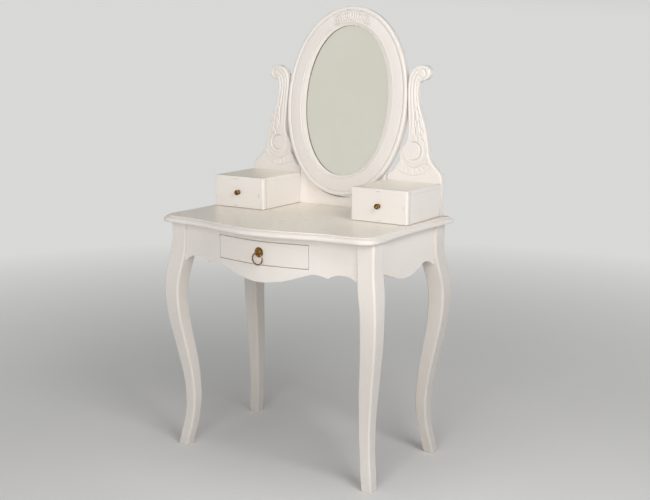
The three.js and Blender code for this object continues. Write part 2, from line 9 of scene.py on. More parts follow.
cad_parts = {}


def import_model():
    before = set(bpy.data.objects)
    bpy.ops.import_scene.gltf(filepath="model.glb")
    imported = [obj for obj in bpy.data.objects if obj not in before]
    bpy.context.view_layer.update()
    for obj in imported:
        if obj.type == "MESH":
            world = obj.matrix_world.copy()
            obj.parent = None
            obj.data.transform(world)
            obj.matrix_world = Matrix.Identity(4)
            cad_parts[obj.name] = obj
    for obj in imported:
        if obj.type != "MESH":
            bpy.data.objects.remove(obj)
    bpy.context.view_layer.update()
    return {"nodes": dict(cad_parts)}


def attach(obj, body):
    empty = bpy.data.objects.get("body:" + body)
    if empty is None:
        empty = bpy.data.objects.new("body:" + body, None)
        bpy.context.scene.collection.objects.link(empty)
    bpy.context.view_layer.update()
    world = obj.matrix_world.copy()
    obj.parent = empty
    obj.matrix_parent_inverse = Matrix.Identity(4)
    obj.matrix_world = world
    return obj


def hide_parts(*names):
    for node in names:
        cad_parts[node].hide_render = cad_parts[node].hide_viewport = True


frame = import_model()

NODES = frame["nodes"]
SCENE = bpy.context.scene

MM = 0.001
YS = 14.546            # mm, layout frame to model frame
TOP_Z, TOP_UNDER, FRAME_TOP = 770.0, 749.5, 749.2
LEG_X, LEG_Y = 371.4, 210.6
BOX_IN, BOX_OUT, BOX_TOP, BOX_FRONT = 166.4, 363.8, 872.1, -5.2
LEAN, BOARD_Y, BOARD_T = 0.0643, 199.2, 24.0
PIVOT_Y, PIVOT_Z = 232.0, 1111.0
TILT = math.radians(7.3)
MIRROR = (228.0, 306.0)
SIGHT = (156.0, 242.7)
RISE = 2.4              # the sight opening above the middle of the frame
STEP = (175.5, 252.2)
OVAL = 2.07


# ------------------------------------------------------------------ curves
def monotone(xs, ys):
    xs, ys = np.array(xs, float), np.array(ys, float)
    h = np.diff(xs)
    d = np.diff(ys) / h
    m = np.zeros(len(xs))
    for i in range(1, len(xs) - 1):
        if d[i - 1] * d[i] > 0:
            w1, w2 = 2 * h[i] + h[i - 1], h[i] + 2 * h[i - 1]
            m[i] = (w1 + w2) / (w1 / d[i - 1] + w2 / d[i])
    m[-1] = d[-1]

    def f(x):
        x = np.clip(np.asarray(x, float), xs[0], xs[-1])
        i = np.clip(np.searchsorted(xs, x, side="right") - 1, 0, len(h) - 1)
        t = (x - xs[i]) / h[i]
        t2, t3 = t * t, t * t * t
        return (2 * t3 - 3 * t2 + 1) * ys[i] + (t3 - 2 * t2 + t) * h[i] * m[i] + (-2 * t3 + 3 * t2) * ys[i + 1] + (t3 - t2) * h[i] * m[i + 1]
    return f


def cubic(xs, ys, s0=None, s1=None):
    """C2 cubic spline, clamped where a slope is given, natural where not."""
    xs, ys = np.array(xs, float), np.array(ys, float)
    n, h = len(xs), np.diff(xs)
    d = np.diff(ys) / h
    A, b = np.zeros((n, n)), np.zeros(n)
    for i in range(1, n - 1):
        A[i, i - 1], A[i, i], A[i, i + 1] = h[i], 2 * (h[i - 1] + h[i]), h[i - 1]
        b[i] = 3 * (h[i] * d[i - 1] + h[i - 1] * d[i])
    if s0 is None:
        A[0, 0], A[0, 1], b[0] = 2, 1, 3 * d[0]
    else:
        A[0, 0], b[0] = 1, s0
    if s1 is None:
        A[-1, -1], A[-1, -2], b[-1] = 2, 1, 3 * d[-1]
    else:
        A[-1, -1], b[-1] = 1, s1
    m = np.linalg.solve(A, b)

    def f(x):
        x = np.clip(np.asarray(x, float), xs[0], xs[-1])
        i = np.clip(np.searchsorted(xs, x, side="right") - 1, 0, n - 2)
        t = (x - xs[i]) / h[i]
        t2, t3 = t * t, t * t * t
        return (2 * t3 - 3 * t2 + 1) * ys[i] + (t3 - 2 * t2 + t) * h[i] * m[i] + (-2 * t3 + 3 * t2) * ys[i + 1] + (t3 - t2) * h[i] * m[i + 1]
    return f


def catmull(pts, n, closed=False):
    """Centripetal Catmull-Rom through 2-D points, n steps a span."""
    P = np.array(pts, float)
    if closed:
        P = np.vstack([P[-1], P, P[0], P[1]])
    else:
        P = np.vstack([2 * P[0] - P[1], P, 2 * P[-1] - P[-2]])
    out = []
    for i in range(len(P) - 3):
        p0, p1, p2, p3 = P[i:i + 4]
        t0 = 0.0
        t1 = t0 + max(np.linalg.norm(p1 - p0), 1e-9) ** 0.5
        t2 = t1 + max(np.linalg.norm(p2 - p1), 1e-9) ** 0.5
        t3 = t2 + max(np.linalg.norm(p3 - p2), 1e-9) ** 0.5
        for t in np.linspace(t1, t2, n, endpoint=False):
            a1 = (t1 - t) / (t1 - t0) * p0 + (t - t0) / (t1 - t0) * p1
            a2 = (t2 - t) / (t2 - t1) * p1 + (t - t1) / (t2 - t1) * p2
            a3 = (t3 - t) / (t3 - t2) * p2 + (t - t2) / (t3 - t2) * p3
            b1 = (t2 - t) / (t2 - t0) * a1 + (t - t0) / (t2 - t0) * a2
            b2 = (t3 - t) / (t3 - t1) * a2 + (t - t1) / (t3 - t1) * a3
            out.append((t2 - t) / (t2 - t1) * b1 + (t - t1) / (t2 - t1) * b2)
    if not closed:
        out.append(P[-2])
    return np.array(out)


def seg_dist(Q, path, closed=False):
    """Distance of points Q to a polyline."""
    A = np.array(path, float)
    B = np.roll(A, -1, axis=0) if closed else A[1:]
    A = A if closed else A[:-1]
    best = np.full(len(Q), 1e9)
    for a, b in zip(A, B):
        ab = b - a
        t = np.clip(((Q - a) @ ab) / max(ab @ ab, 1e-12), 0, 1)
        best = np.minimum(best, np.hypot(*(Q - (a + t[:, None] * ab)).T))
    return best


def sstep(a, b, x):
    t = np.clip((np.asarray(x, float) - a) / (b - a), 0, 1)
    return t * t * (3 - 2 * t)


def groove(d, at, half, depth):
    """Rounded V groove centred on distance `at`."""
    t = np.clip(1 - np.abs(d - at) / half, 0, 1)
    return depth * t * t * (3 - 2 * t)


def inset_closed(P, d):
    """Closed anticlockwise outline moved inwards by d along its normals."""
    T = np.roll(P, -1, axis=0) - np.roll(P, 1, axis=0)
    T /= np.maximum(np.linalg.norm(T, axis=1), 1e-9)[:, None]
    return P + d * np.stack([-T[:, 1], T[:, 0]], 1)


# ------------------------------------------------------------------ meshes
def obj(name, V, F, angle=38, weighted=False, attrs=None):
    V = np.asarray(V, float) * MM
    V = V + np.array([0, YS * MM, 0])
    me = bpy.data.meshes.new(name)
    me.from_pydata(V.tolist(), [], [list(map(int, f)) for f in F])
    me.update()
    bm = bmesh.new()
    bm.from_mesh(me)
    bmesh.ops.recalc_face_normals(bm, faces=bm.faces)
    bm.to_mesh(me)
    bm.free()
    return finish_mesh(name, me, angle, weighted, attrs)


def finish_mesh(name, me, angle, weighted, attrs=None):
    me.polygons.foreach_set("use_smooth", [True] * len(me.polygons))
    me.set_sharp_from_angle(angle=math.radians(angle))
    for k, vals in (attrs or {}).items():
        a = me.attributes.new(k, "FLOAT", "POINT")
        a.data.foreach_set("value", np.asarray(vals, np.float32))
    o = bpy.data.objects.new(name, me)
    SCENE.collection.objects.link(o)
    if weighted:
        m = o.modifiers.new("weighted", "WEIGHTED_NORMAL")
        m.keep_sharp = True
        m.weight = 90
    return o


def columns(loops):
    """Side faces between equal closed loops, with both ends closed. loops (n, k, 3)."""
    n, k = len(loops), len(loops[0])
    F = []
    for i in range(n - 1):
        for j in range(k):
            a, b = i * k + j, i * k + (j + 1) % k
            F.append((a, b, b + k, a + k))
    F.append(tuple(range(k)))
    F.append(tuple(range((n - 1) * k, n * k)))
    return F


def bevelled(me, rules):
    """Bevels sharp edges of a mesh. rules: [(width_mm, segments, pick(mid, direction) or None)], first match wins."""
    bm = bmesh.new()
    bm.from_mesh(me)
    lay = bm.verts.layers.float.new("edge")
    left = None
    for width, segs, pick in rules:
        es = []
        for e in bm.edges:
            if len(e.link_faces) != 2 or e.calc_face_angle(0) < math.radians(32):
                continue
            if e.verts[0][lay] > 0 and e.verts[1][lay] > 0:
                continue
            a, b = e.verts[0].co / MM, e.verts[1].co / MM
            mid, d = (a + b) / 2, (b - a).normalized()
            mid.y -= YS
            if pick is None or pick(mid, d):
                es.append(e)
        if not es:
            continue
        old = set(bm.verts)
        r = bmesh.ops.bevel(bm, geom=es, offset=width * MM, segments=segs, profile=0.5, affect="EDGES", clamp_overlap=True)
        for v in r["verts"]:
            v[lay] = 1.0
    bmesh.ops.recalc_face_normals(bm, faces=bm.faces)
    bm.to_mesh(me)
    bm.free()


def board_normals(me, angle):
    """Corner normals that keep wide flats truly flat and shade only the eased edges."""
    bm = bmesh.new()
    bm.from_mesh(me)
    bm.faces.ensure_lookup_table()
    region = [-1] * len(bm.faces)
    area = []
    for f in bm.faces:
        if region[f.index] >= 0:
            continue
        k = len(area)
        area.append(0.0)
        todo = [f]
        region[f.index] = k
        while todo:
            g = todo.pop()
            area[k] += g.calc_area()
            for e in g.edges:
                for h in e.link_faces:
                    if region[h.index] < 0 and h.normal.dot(g.normal) > 0.99995:
                        region[h.index] = k
                        todo.append(h)
    limit = math.cos(math.radians(angle))
    out = []
    for f in bm.faces:
        for v in f.verts:
            n = Vector((0, 0, 0))
            for h in v.link_faces:
                if h.normal.dot(f.normal) > limit:
                    n += h.normal * (area[region[h.index]] ** 2 + 1e-18)
            out.append(n.normalized())
    bm.free()
    me.normals_split_custom_set(out)


def softened(name, node, rules, angle=60):
    """A copy of a flat CAD board with its edges eased."""
    me = NODES[node].data.copy()
    me.name = name
    for a in [a.name for a in me.attributes if a.name == "custom_normal"]:
        me.attributes.remove(me.attributes[a])
    me.materials.clear()
    bm = bmesh.new()
    bm.from_mesh(me)
    bmesh.ops.remove_doubles(bm, verts=bm.verts, dist=2e-6)
    bmesh.ops.dissolve_limit(bm, angle_limit=math.radians(0.6), verts=bm.verts, edges=bm.edges)
    bm.to_mesh(me)
    bm.free()
    bevelled(me, rules)
    o = finish_mesh(name, me, angle, False)
    board_normals(me, angle)
    return o


def piece(o, body, mat, slot, *nodes):
    o.data.materials.clear()
    o.data.materials.append(mat)
    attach(o, body)
    if nodes:
        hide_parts(*nodes)
    return o


# ------------------------------------------------------------------ materials
class Mat:
    def __init__(s, name):
        s.m = bpy.data.materials.new(name)
        s.m.use_nodes = True
        s.t = s.m.node_tree
        s.t.nodes.clear()
        s.out = s.n("ShaderNodeOutputMaterial")
        s.b = s.n("ShaderNodeBsdfPrincipled")
        s.l(s.b.outputs[0], s.out.inputs[0])
        s.co = s.n("ShaderNodeTexCoord").outputs["Object"]

    def n(s, kind, **kw):
        nd = s.t.nodes.new(kind)
        for k, v in kw.items():
            setattr(nd, k, v)
        return nd

    def l(s, a, b):
        s.t.links.new(a, b)

    def put(s, sock, v):
        if isinstance(v, bpy.types.NodeSocket):
            s.l(v, sock)
        else:
            sock.default_value = v

    def scaled(s, xyz, rot=(0, 0, 0), src=None):
        m = s.n("ShaderNodeMapping")
        m.inputs["Scale"].default_value = xyz
        m.inputs["Rotation"].default_value = rot
        s.l(src or s.co, m.inputs["Vector"])
        return m.outputs[0]

    def noise(s, vec, scale, detail=3.0, rough=0.55, dist=0.0):
        nd = s.n("ShaderNodeTexNoise")
        s.l(vec, nd.inputs["Vector"])
        nd.inputs["Scale"].default_value = scale
        nd.inputs["Detail"].default_value = detail
        nd.inputs["Roughness"].default_value = rough
        nd.inputs["Distortion"].default_value = dist
        return nd.outputs["Fac"]

    def ramp(s, fac, stops):
        r = s.n("ShaderNodeValToRGB")
        s.l(fac, r.inputs[0])
        cr = r.color_ramp
        while len(cr.elements) < len(stops):
            cr.elements.new(0.5)
        for e, (p, c) in zip(cr.elements, stops):
            e.position = p
            e.color = c if len(c) == 4 else (*c, 1)
        return r.outputs[0]

    def range(s, v, a, b, c, d):
        r = s.n("ShaderNodeMapRange")
        r.clamp = True
        s.put(r.inputs["Value"], v)
        for k, x in zip(("From Min", "From Max", "To Min", "To Max"), (a, b, c, d)):
            r.inputs[k].default_value = x
        return r.outputs[0]

    def mix(s, fac, a, b, mode="MIX"):
        r = s.n("ShaderNodeMixRGB", blend_type=mode)
        s.put(r.inputs[0], fac)
        for i, c in ((1, a), (2, b)):
            if isinstance(c, tuple) and len(c) == 3:
                c = (*c, 1)
            s.put(r.inputs[i], c)
        return r.outputs[0]

    def math(s, op, a, b=None, clamp=False):
        r = s.n("ShaderNodeMath", operation=op, use_clamp=clamp)
        s.put(r.inputs[0], a)
        if b is not None:
            s.put(r.inputs[1], b)
        return r.outputs[0]

    def attr(s, name):
        return s.n("ShaderNodeAttribute", attribute_name=name).outputs["Fac"]

    def near(s, p, r):
        """1 inside a ball of radius r round point p, 0 outside."""
        v = s.n("ShaderNodeVectorMath", operation="DISTANCE")
        s.l(s.co, v.inputs[0])
        v.inputs[1].default_value = p
        return s.range(v.outputs["Value"], r * 0.5, r, 1.0, 0.0)

    def bump(s, height, strength, distance, normal=None):
        b = s.n("ShaderNodeBump")
        b.inputs["Strength"].default_value = strength
        b.inputs["Distance"].default_value = distance
        s.put(b.inputs["Height"], height)
        if normal is not None:
            s.l(normal, b.inputs["Normal"])
        return b.outputs[0]


def paint(name, along, chips=(), tone=1.0, gloss=0.0, calm=1.0, joints=(), warm=1.0, foot=0.0, top_face_tint=0.0):
    """Brushed ivory satin paint. along: axis of the brush strokes. chips: ((point), (half sizes))."""
    g = Mat(name)
    tb = tone * warm
    k = {"x": (5, 150, 150), "y": (150, 5, 150), "z": (150, 150, 5)}[along]
    k2 = {"x": (14, 420, 420), "y": (420, 14, 420), "z": (420, 420, 14)}[along]
    brush = g.noise(g.scaled(k), 1.0, 5.0, 0.62, 0.25)
    fine = g.noise(g.scaled(k2), 1.0, 3.0, 0.6)
    cloud = g.noise(g.co, 3.6, 3.0, 0.5)
    mottle = g.noise(g.co, 42.0, 4.0, 0.6)
    base = g.ramp(cloud, [(0.30, (0.806 * tone, 0.757 * tone, 0.712 * tb)), (0.52, (0.835 * tone, 0.788 * tone, 0.745 * tb)), (0.74, (0.852 * tone, 0.808 * tone, 0.772 * tb))])
    base = g.mix(g.range(mottle, 0.44, 0.74, 0.0, 0.18 * calm), base, (0.760 * tone, 0.710 * tone, 0.655 * tb))
    base = g.mix(g.range(brush, 0.38, 0.76, 0.0, 0.22), base, (0.880 * tone, 0.842 * tone, 0.812 * tb))
    base = g.mix(g.range(fine, 0.55, 0.80, 0.0, 0.14 * calm), base, (0.72 * tone, 0.672 * tone, 0.61 * tb))
    if foot:
        low = g.n("ShaderNodeSeparateXYZ")
        g.l(g.co, low.inputs[0])
        base = g.mix(g.range(low.outputs["Z"], 0.50, 0.74, foot, 0.0), base, (0.52, 0.485, 0.44))
    # upward faces made a little darker and yellower
    if top_face_tint:
        up = g.n("ShaderNodeSeparateXYZ")
        g.l(g.co, up.inputs[0])
        base = g.mix(g.range(up.outputs["Z"], top_face_tint - 0.0018, top_face_tint - 0.0002, 0.0, 1.0), base, (0.985, 0.975, 0.90), "MULTIPLY")
    # soil and shade that settle in grooves
    cav = g.attr("cav")
    base = g.mix(g.math("MULTIPLY", cav, 0.42), base, (0.50, 0.44, 0.355))
    # painted shadow, near black, read from the attribute set on the mirror frame's sight-lip wall
    dark = g.attr("rabbet_shadow")
    if joints:
        sep = g.n("ShaderNodeSeparateXYZ")
        g.l(g.co, sep.inputs[0])
        for axis, at, half in joints:
            d = g.math("ABSOLUTE", g.math("SUBTRACT", sep.outputs[axis], at))
            dark = g.math("MAXIMUM", dark, g.range(d, half * 0.35, half, 0.75, 0.0))
    # near-black mix: painted shadow in the mirror frame's rabbet and under the gallery boxes, plus the joint line
    # beside the drawer fronts
    base = g.mix(g.math("MULTIPLY", dark, 0.88), base, (0.13, 0.105, 0.08))
    # paint rubbed through on edges
    edge = g.attr("edge")
    speck = g.noise(g.co, 58.0, 5.0, 0.65, 0.4)
    wear = g.math("MULTIPLY", g.range(speck, 0.715, 0.745, 0.0, 0.75), g.range(edge, 0.45, 0.95, 0.0, 1.0))
    ragged = g.noise(g.co, 330.0, 4.0, 0.7, 0.6)
    stain = None
    for p, r in chips:
        d = g.n("ShaderNodeVectorMath", operation="SUBTRACT")
        g.l(g.co, d.inputs[0])
        d.inputs[1].default_value = p
        q = g.n("ShaderNodeVectorMath", operation="DIVIDE")
        g.l(d.outputs[0], q.inputs[0])
        q.inputs[1].default_value = r
        ln = g.n("ShaderNodeVectorMath", operation="LENGTH")
        g.l(q.outputs[0], ln.inputs[0])
        spot = g.math("MULTIPLY", g.range(ln.outputs["Value"], 0.55, 1.0, 1.0, 0.0), g.range(ragged, 0.40, 0.58, 0.25, 1.0))
        stain = spot if stain is None else g.math("MAXIMUM", stain, spot)
    thin = g.math("MULTIPLY", g.range(speck, 0.63, 0.72, 0.0, 0.30), g.range(edge, 0.4, 1.0, 0.0, 1.0))
    base = g.mix(thin, base, (0.70, 0.635, 0.55))
    wood = g.ramp(g.noise(g.co, 300.0, 2.0), [(0.35, (0.30, 0.225, 0.15)), (0.7, (0.50, 0.41, 0.30))])
    if stain is not None:
        base = g.mix(g.math("MULTIPLY", stain, 0.62), base, wood)
    base = g.mix(wear, base, wood)
    g.l(base, g.b.inputs["Base Color"])
    ro = g.math("ADD", g.range(mottle, 0.35, 0.75, 0.30 - gloss, 0.42 - gloss), g.range(fine, 0.3, 0.8, -0.03, 0.05))
    ro = g.math("ADD", ro, g.math("MULTIPLY", wear, 0.3))
    g.l(ro, g.b.inputs["Roughness"])
    nb = g.bump(brush, 0.34 * calm, 0.00045 * calm)
    nb = g.bump(fine, 0.22 * calm, 0.00016 * calm, nb)
    nb = g.bump(g.noise(g.co, 26.0, 3.0), 0.16 * calm, 0.0016 * calm, nb)
    nb = g.bump(g.math("SUBTRACT", 1.0, wear), 0.5, 0.0003, nb)
    g.l(nb, g.b.inputs["Normal"])
    g.b.inputs["IOR"].default_value = 1.48
    g.b.inputs["Coat Weight"].default_value = 0.12
    g.b.inputs["Coat Roughness"].default_value = 0.22
    return g.m


def bare_wood(name, along, dark=1.0):
    g = Mat(name)
    k = {"x": (6, 90, 90), "y": (90, 6, 90), "z": (90, 90, 6)}[along]
    k2 = {"x": (30, 900, 900), "y": (900, 30, 900), "z": (900, 900, 30)}[along]
    ring = g.noise(g.scaled(k), 1.0, 4.0, 0.6, 1.3)
    pore = g.noise(g.scaled(k2), 1.0, 3.0, 0.6)
    cloud = g.noise(g.co, 6.0, 2.0)
    c = g.ramp(ring, [(0.30, (0.50 * dark, 0.36 * dark, 0.215 * dark)), (0.5, (0.62 * dark, 0.47 * dark, 0.30 * dark)), (0.72, (0.70 * dark, 0.56 * dark, 0.385 * dark))])
    c = g.mix(g.range(pore, 0.55, 0.72, 0.0, 0.4), c, (0.33 * dark, 0.22 * dark, 0.12 * dark))
    c = g.mix(g.range(cloud, 0.3, 0.8, 0.0, 0.25), c, (0.58 * dark, 0.42 * dark, 0.26 * dark))
    g.l(c, g.b.inputs["Base Color"])
    g.l(g.range(pore, 0.3, 0.8, 0.52, 0.72), g.b.inputs["Roughness"])
    g.l(g.bump(pore, 0.35, 0.0002, g.bump(ring, 0.2, 0.0004)), g.b.inputs["Normal"])
    return g.m


def brass(name):
    g = Mat(name)
    big = g.noise(g.co, 120.0, 4.0, 0.6, 0.5)
    fine = g.noise(g.co, 900.0, 3.0, 0.65)
    c = g.ramp(big, [(0.34, (0.040, 0.020, 0.008)), (0.46, (0.19, 0.095, 0.028)), (0.58, (0.52, 0.30, 0.092)), (0.74, (0.84, 0.58, 0.25))])
    cav = g.attr("cav")
    c = g.mix(cav, c, (0.045, 0.026, 0.012))
    c = g.mix(g.range(fine, 0.60, 0.72, 0.0, 0.5), c, (0.10, 0.055, 0.02))
    g.l(c, g.b.inputs["Base Color"])
    g.b.inputs["Metallic"].default_value = 1.0
    ro = g.math("ADD", g.range(big, 0.3, 0.8, 0.36, 0.15), g.range(fine, 0.4, 0.8, 0.0, 0.18))
    g.l(ro, g.b.inputs["Roughness"])
    g.l(g.bump(fine, 0.25, 0.0001, g.bump(big, 0.35, 0.0004)), g.b.inputs["Normal"])
    return g.m


def steel(name):
    g = Mat(name)
    fine = g.noise(g.scaled((60, 700, 700)), 1.0, 4.0, 0.6)
    spot = g.noise(g.co, 160.0, 3.0)
    c = g.ramp(spot, [(0.35, (0.30, 0.29, 0.28)), (0.7, (0.47, 0.46, 0.44))])
    g.l(c, g.b.inputs["Base Color"])
    g.b.inputs["Metallic"].default_value = 1.0
    g.l(g.range(fine, 0.3, 0.8, 0.28, 0.46), g.b.inputs["Roughness"])
    g.l(g.bump(fine, 0.25, 0.00015), g.b.inputs["Normal"])
    return g.m


def mirror_glass(name):
    g = Mat(name)
    haze = g.noise(g.co, 9.0, 4.0, 0.6, 0.4)
    smear = g.noise(g.scaled((30, 30, 8)), 1.0, 4.0, 0.6)
    rim = g.attr("rim")
    fox = g.math("MULTIPLY", g.range(g.noise(g.co, 90.0, 5.0, 0.7, 0.6), 0.60, 0.72, 0.0, 1.0), rim)
    c = g.ramp(haze, [(0.3, (0.900, 0.886, 0.775)), (0.7, (0.925, 0.910, 0.812))])
    c = g.mix(g.math("MULTIPLY", rim, 0.35), c, (0.84, 0.82, 0.69))
    c = g.mix(fox, c, (0.33, 0.29, 0.22))
    g.l(c, g.b.inputs["Base Color"])
    g.b.inputs["Metallic"].default_value = 1.0
    ro = g.math("ADD", g.range(smear, 0.35, 0.8, 0.012, 0.05), g.math("MULTIPLY", fox, 0.35))
    g.l(ro, g.b.inputs["Roughness"])
    g.l(g.bump(g.noise(g.co, 5.0, 1.0), 0.02, 0.001), g.b.inputs["Normal"])
    return g.m


def fibre(name):
    g = Mat(name)
    f = g.noise(g.scaled((60, 500, 200), (0.2, 0.4, 0.3)), 1.0, 5.0, 0.7, 0.8)
    c = g.ramp(f, [(0.3, (0.26, 0.165, 0.085)), (0.55, (0.36, 0.245, 0.135)), (0.8, (0.47, 0.34, 0.205))])
    c = g.mix(g.range(g.noise(g.co, 7.0, 3.0), 0.35, 0.75, 0.0, 0.35), c, (0.27, 0.18, 0.10))
    g.l(c, g.b.inputs["Base Color"])
    g.l(g.range(f, 0.3, 0.8, 0.55, 0.78), g.b.inputs["Roughness"])
    g.l(g.bump(f, 0.3, 0.0003), g.b.inputs["Normal"])
    return g.m


def w(x, y, z):
    """Layout mm to model metres."""
    return (x * MM, (y + YS) * MM, z * MM)


BW = BOX_FRONT
chips_left = [(w(-279, BW, 863.8), (0.012, 0.004, 0.0017)), (w(-279, BW, 777.0), (0.010, 0.004, 0.0015)), (w(-183, BW, 817), (0.0016, 0.004, 0.011)),
              (w(-187, BW, 813), (0.0012, 0.004, 0.006))]
chips_right = [(w(263, BW, 864.6), (0.010, 0.004, 0.0017)), (w(266, BW, 776.0), (0.009, 0.004, 0.0013)), (w(352, BW, 819), (0.0016, 0.004, 0.010)),
               (w(347, BW, 822), (0.0010, 0.004, 0.005))]
PAINT_X = paint("paint_along_x", "x")
PAINT_Y = paint("paint_along_y", "y")
PAINT_Z = paint("paint_legs", "z", tone=0.98, foot=0.28)
# a darker copy of the leg paint: painted shade on the back legs, darker still towards the floor
PAINT_BACK_LEGS_SHADED = paint("paint_back_legs_shaded", "z", tone=0.90, foot=0.36)
# a lighter copy of the paint: painted light standing in for light bounced onto the gallery panel
PAINT_PANEL_LIGHTENED = paint("paint_gallery_panel_lightened", "x", tone=1.07)
PAINT_AX = paint("paint_apron_front", "x", tone=0.96)
PAINT_TOP = paint("paint_table_top", "x", tone=0.955, gloss=0.02, calm=0.25, top_face_tint=TOP_Z * MM)
PAINT_FRAME = paint("paint_mirror_frame", "z", tone=0.95, chips=[(w(-12, 259, 1404), (0.013, 0.012, 0.0022)), (w(40, 259, 1400), (0.008, 0.012, 0.0018))])
# dark lines: along Y the joint between drawer front and box side; at z 770.2 mm a painted shadow where the boxes sit
# on the table top
JOINT_AND_SHADOW_LINES = [("Y", (10.95 + YS) * MM, 0.0013), ("Z", 0.7702, 0.0021)]
# a lighter copy of the drawer paint: painted light on the left drawer front
PAINT_DL_LIGHTENED = paint("paint_drawer_left_lightened", "x", chips_left, joints=JOINT_AND_SHADOW_LINES, tone=1.045)
PAINT_DR = paint("paint_drawer_right", "x", chips_right, joints=JOINT_AND_SHADOW_LINES)
PAINT_BOX_X = paint("paint_box_top", "x", joints=JOINT_AND_SHADOW_LINES, calm=0.6, top_face_tint=BOX_TOP * MM)
PAINT_BOX_Y = paint("paint_box_side", "y", joints=JOINT_AND_SHADOW_LINES)
PAINT_CARVED = paint("paint_carved", "z", tone=0.975, chips=[(w(289, 224, 1222), (0.0026, 0.01, 0.0026)), (w(262, 224, 1220), (0.0022, 0.01, 0.0016))])
WOOD_Y = bare_wood("bare_wood_y", "y")
WOOD_X = bare_wood("bare_wood_x", "x")
WOOD_Z = bare_wood("bare_wood_z", "z")
PLY_X = bare_wood("plywood_sheet", "x", 0.86)
BRASS = brass("aged_brass_patina")
STEEL = steel("steel_screw")
GLASS = mirror_glass("mirror_silvered_glass")
FIBRE = fibre("hardboard_backing")

# ------------------------------------------------------------------ table top
top_front = monotone([0, 30, 60, 98, 125, 150, 175, 200, 225, 250, 275, 300, 325, 345],
                     [-311, -309.4, -305.2, -298.2, -292.6, -286.5, -280, -274, -269.4, -266, -263.7, -262.3, -261.6, -260.6])
top_side = monotone([-195, -164, -100, -30, 30, 96, 157, 200, 218], [392.5, 391, 388.4, 387.4, 387.8, 390.3, 395, 399.3, 401])


def top_outline():
    half = [(x, float(top_front(x))) for x in np.arange(0, 337, 6.0)]
    half += [tuple(p) for p in catmull([(325, -261.6), (345, -260.6), (357, -258.2), (368, -253.6), (377.5, -246.4), (385, -236.5), (390, -224),
                                        (392.3, -210), (392.4, -195), (391, -164)], 5)[4:-6]]
    half += [(float(top_side(y)), y) for y in np.arange(-189, 206, 7.0)]
    half += [(379 + 22 * math.cos(a), 218 + 22 * math.sin(a)) for a in np.linspace(0, math.pi / 2, 13)]
    half += [(x, 240.0) for x in (360, 330, 280, 220, 160, 100, 50)]
    half += [(0.0, 240.0)]
    P = half + [(-x, y) for x, y in half[1:-1]][::-1]
    P = np.array(P)
    # soften the joins between the sampled stretches
    for _ in range(2):
        Q = 0.25 * np.roll(P, 1, 0) + 0.5 * P + 0.25 * np.roll(P, -1, 0)
        keep = (P[:, 1] > 239.0) | (P[:, 1] < -310.4) | (np.abs(P[:, 0]) > 400.5)
        P = np.where(keep[:, None], P, Q)
    return P


def make_top():
    P = top_outline()
    levels = [(749.5, 7.0), (749.55, 5.0), (750.3, 2.7), (751.6, 1.2), (753.2, 0.35), (755.2, 0.02), (757.2, 0.1), (759.2, 0.65), (761.0, 1.8),
              (762.6, 3.5), (763.9, 5.8), (765.0, 8.4), (765.9, 10.9), (766.5, 12.7), (766.95, 13.7), (767.5, 14.2), (768.3, 14.35),
              (769.1, 14.6), (769.65, 15.2), (769.93, 16.1), (770.0, 17.2), (770.0, 24.0)]
    loops, edge, cav = [], [], []
    for z, d in levels:
        Q = inset_closed(P, d)
        loops.append([(x, y, z) for x, y in Q])
        edge += [0.62 if 752 < z < 766 else (0.5 if 768 < z < 770 and d < 17 else 0.0)] * len(P)
        # painted shade in the crease under the upper bead of the top
        cav += [0.28 if 766.4 < z < 767.6 else 0.0] * len(P)
    V = np.array(loops).reshape(-1, 3)
    o = obj("table_top_moulded", V, columns(loops), angle=50, weighted=True, attrs={"edge": edge, "cav": cav})
    return piece(o, "table", PAINT_TOP, "painted_wood", "table_top")


make_top()

# ------------------------------------------------------------------ legs
LEG_Z = [0, 40, 90, 150, 220, 290, 360, 430, 500, 560, 610, 660, 748]
LEG_OUT = [0, -6, -14.7, -18.4, -15.5, -6, 5.3, 16.6, 22.6, 21.4, 14.7, 6.4, 6.2]
LEG_IN = [-35.2, -44.3, -52, -57.8, -57, -52, -43.5, -35.4, -32.2, -35.7, -45.5, -52, -55.1]
leg_out = cubic(LEG_Z, LEG_OUT, None, 0.0)
leg_in = cubic(LEG_Z, LEG_IN, None, -0.02)


def make_leg(name, node, sx, sy):
    zs = [0.0, 0.25, 0.9, 2.0, 6.0] + list(np.arange(14, 640, 9.0)) + [644, 652, 660, 675, 690, 705, 720, 735, FRAME_TOP]
    loops, edge = [], []
    for z in zs:
        e = {0.0: 1.6, 0.25: 0.8, 0.9: 0.2}.get(z, 0.0)
        a, b = float(leg_in(z)) + e, float(leg_out(z)) - e
        trim = 5.0 * float(sstep(655, 712, z)) if node == "leg_front_left" else 0.0
        r = 6.6 if z > 30 else 4.6 + 2.0 * z / 30
        x0, x1, y0, y1 = LEG_X + a, LEG_X + b - trim, LEG_Y + a, LEG_Y + b
        row = []
        for cx, cy, q in ((x1 - r, y0 + r, -90), (x1 - r, y1 - r, 0), (x0 + r, y1 - r, 90), (x0 + r, y0 + r, 180)):
            for k in range(7):
                t = math.radians(q + 15 * k)
                row.append((sx * (cx + r * math.cos(t)), sy * (cy + r * math.sin(t)), z))
                edge.append((1.0 if z < 4 else 0.46) if 0 < k < 6 else 0.0)
        loops.append(row)
    V = np.array(loops).reshape(-1, 3)
    o = obj(name, V, columns(loops), angle=50, weighted=True, attrs={"edge": edge})
    return piece(o, "table", PAINT_Z if sy < 0 else PAINT_BACK_LEGS_SHADED, "painted_wood", node)


for _a, _sx in (("left", -1), ("right", 1)):
    for _b, _sy in (("front", -1), ("back", 1)):
        make_leg(f"cabriole_leg_{_b}_{_a}", f"leg_{_b}_{_a}", _sx, _sy)

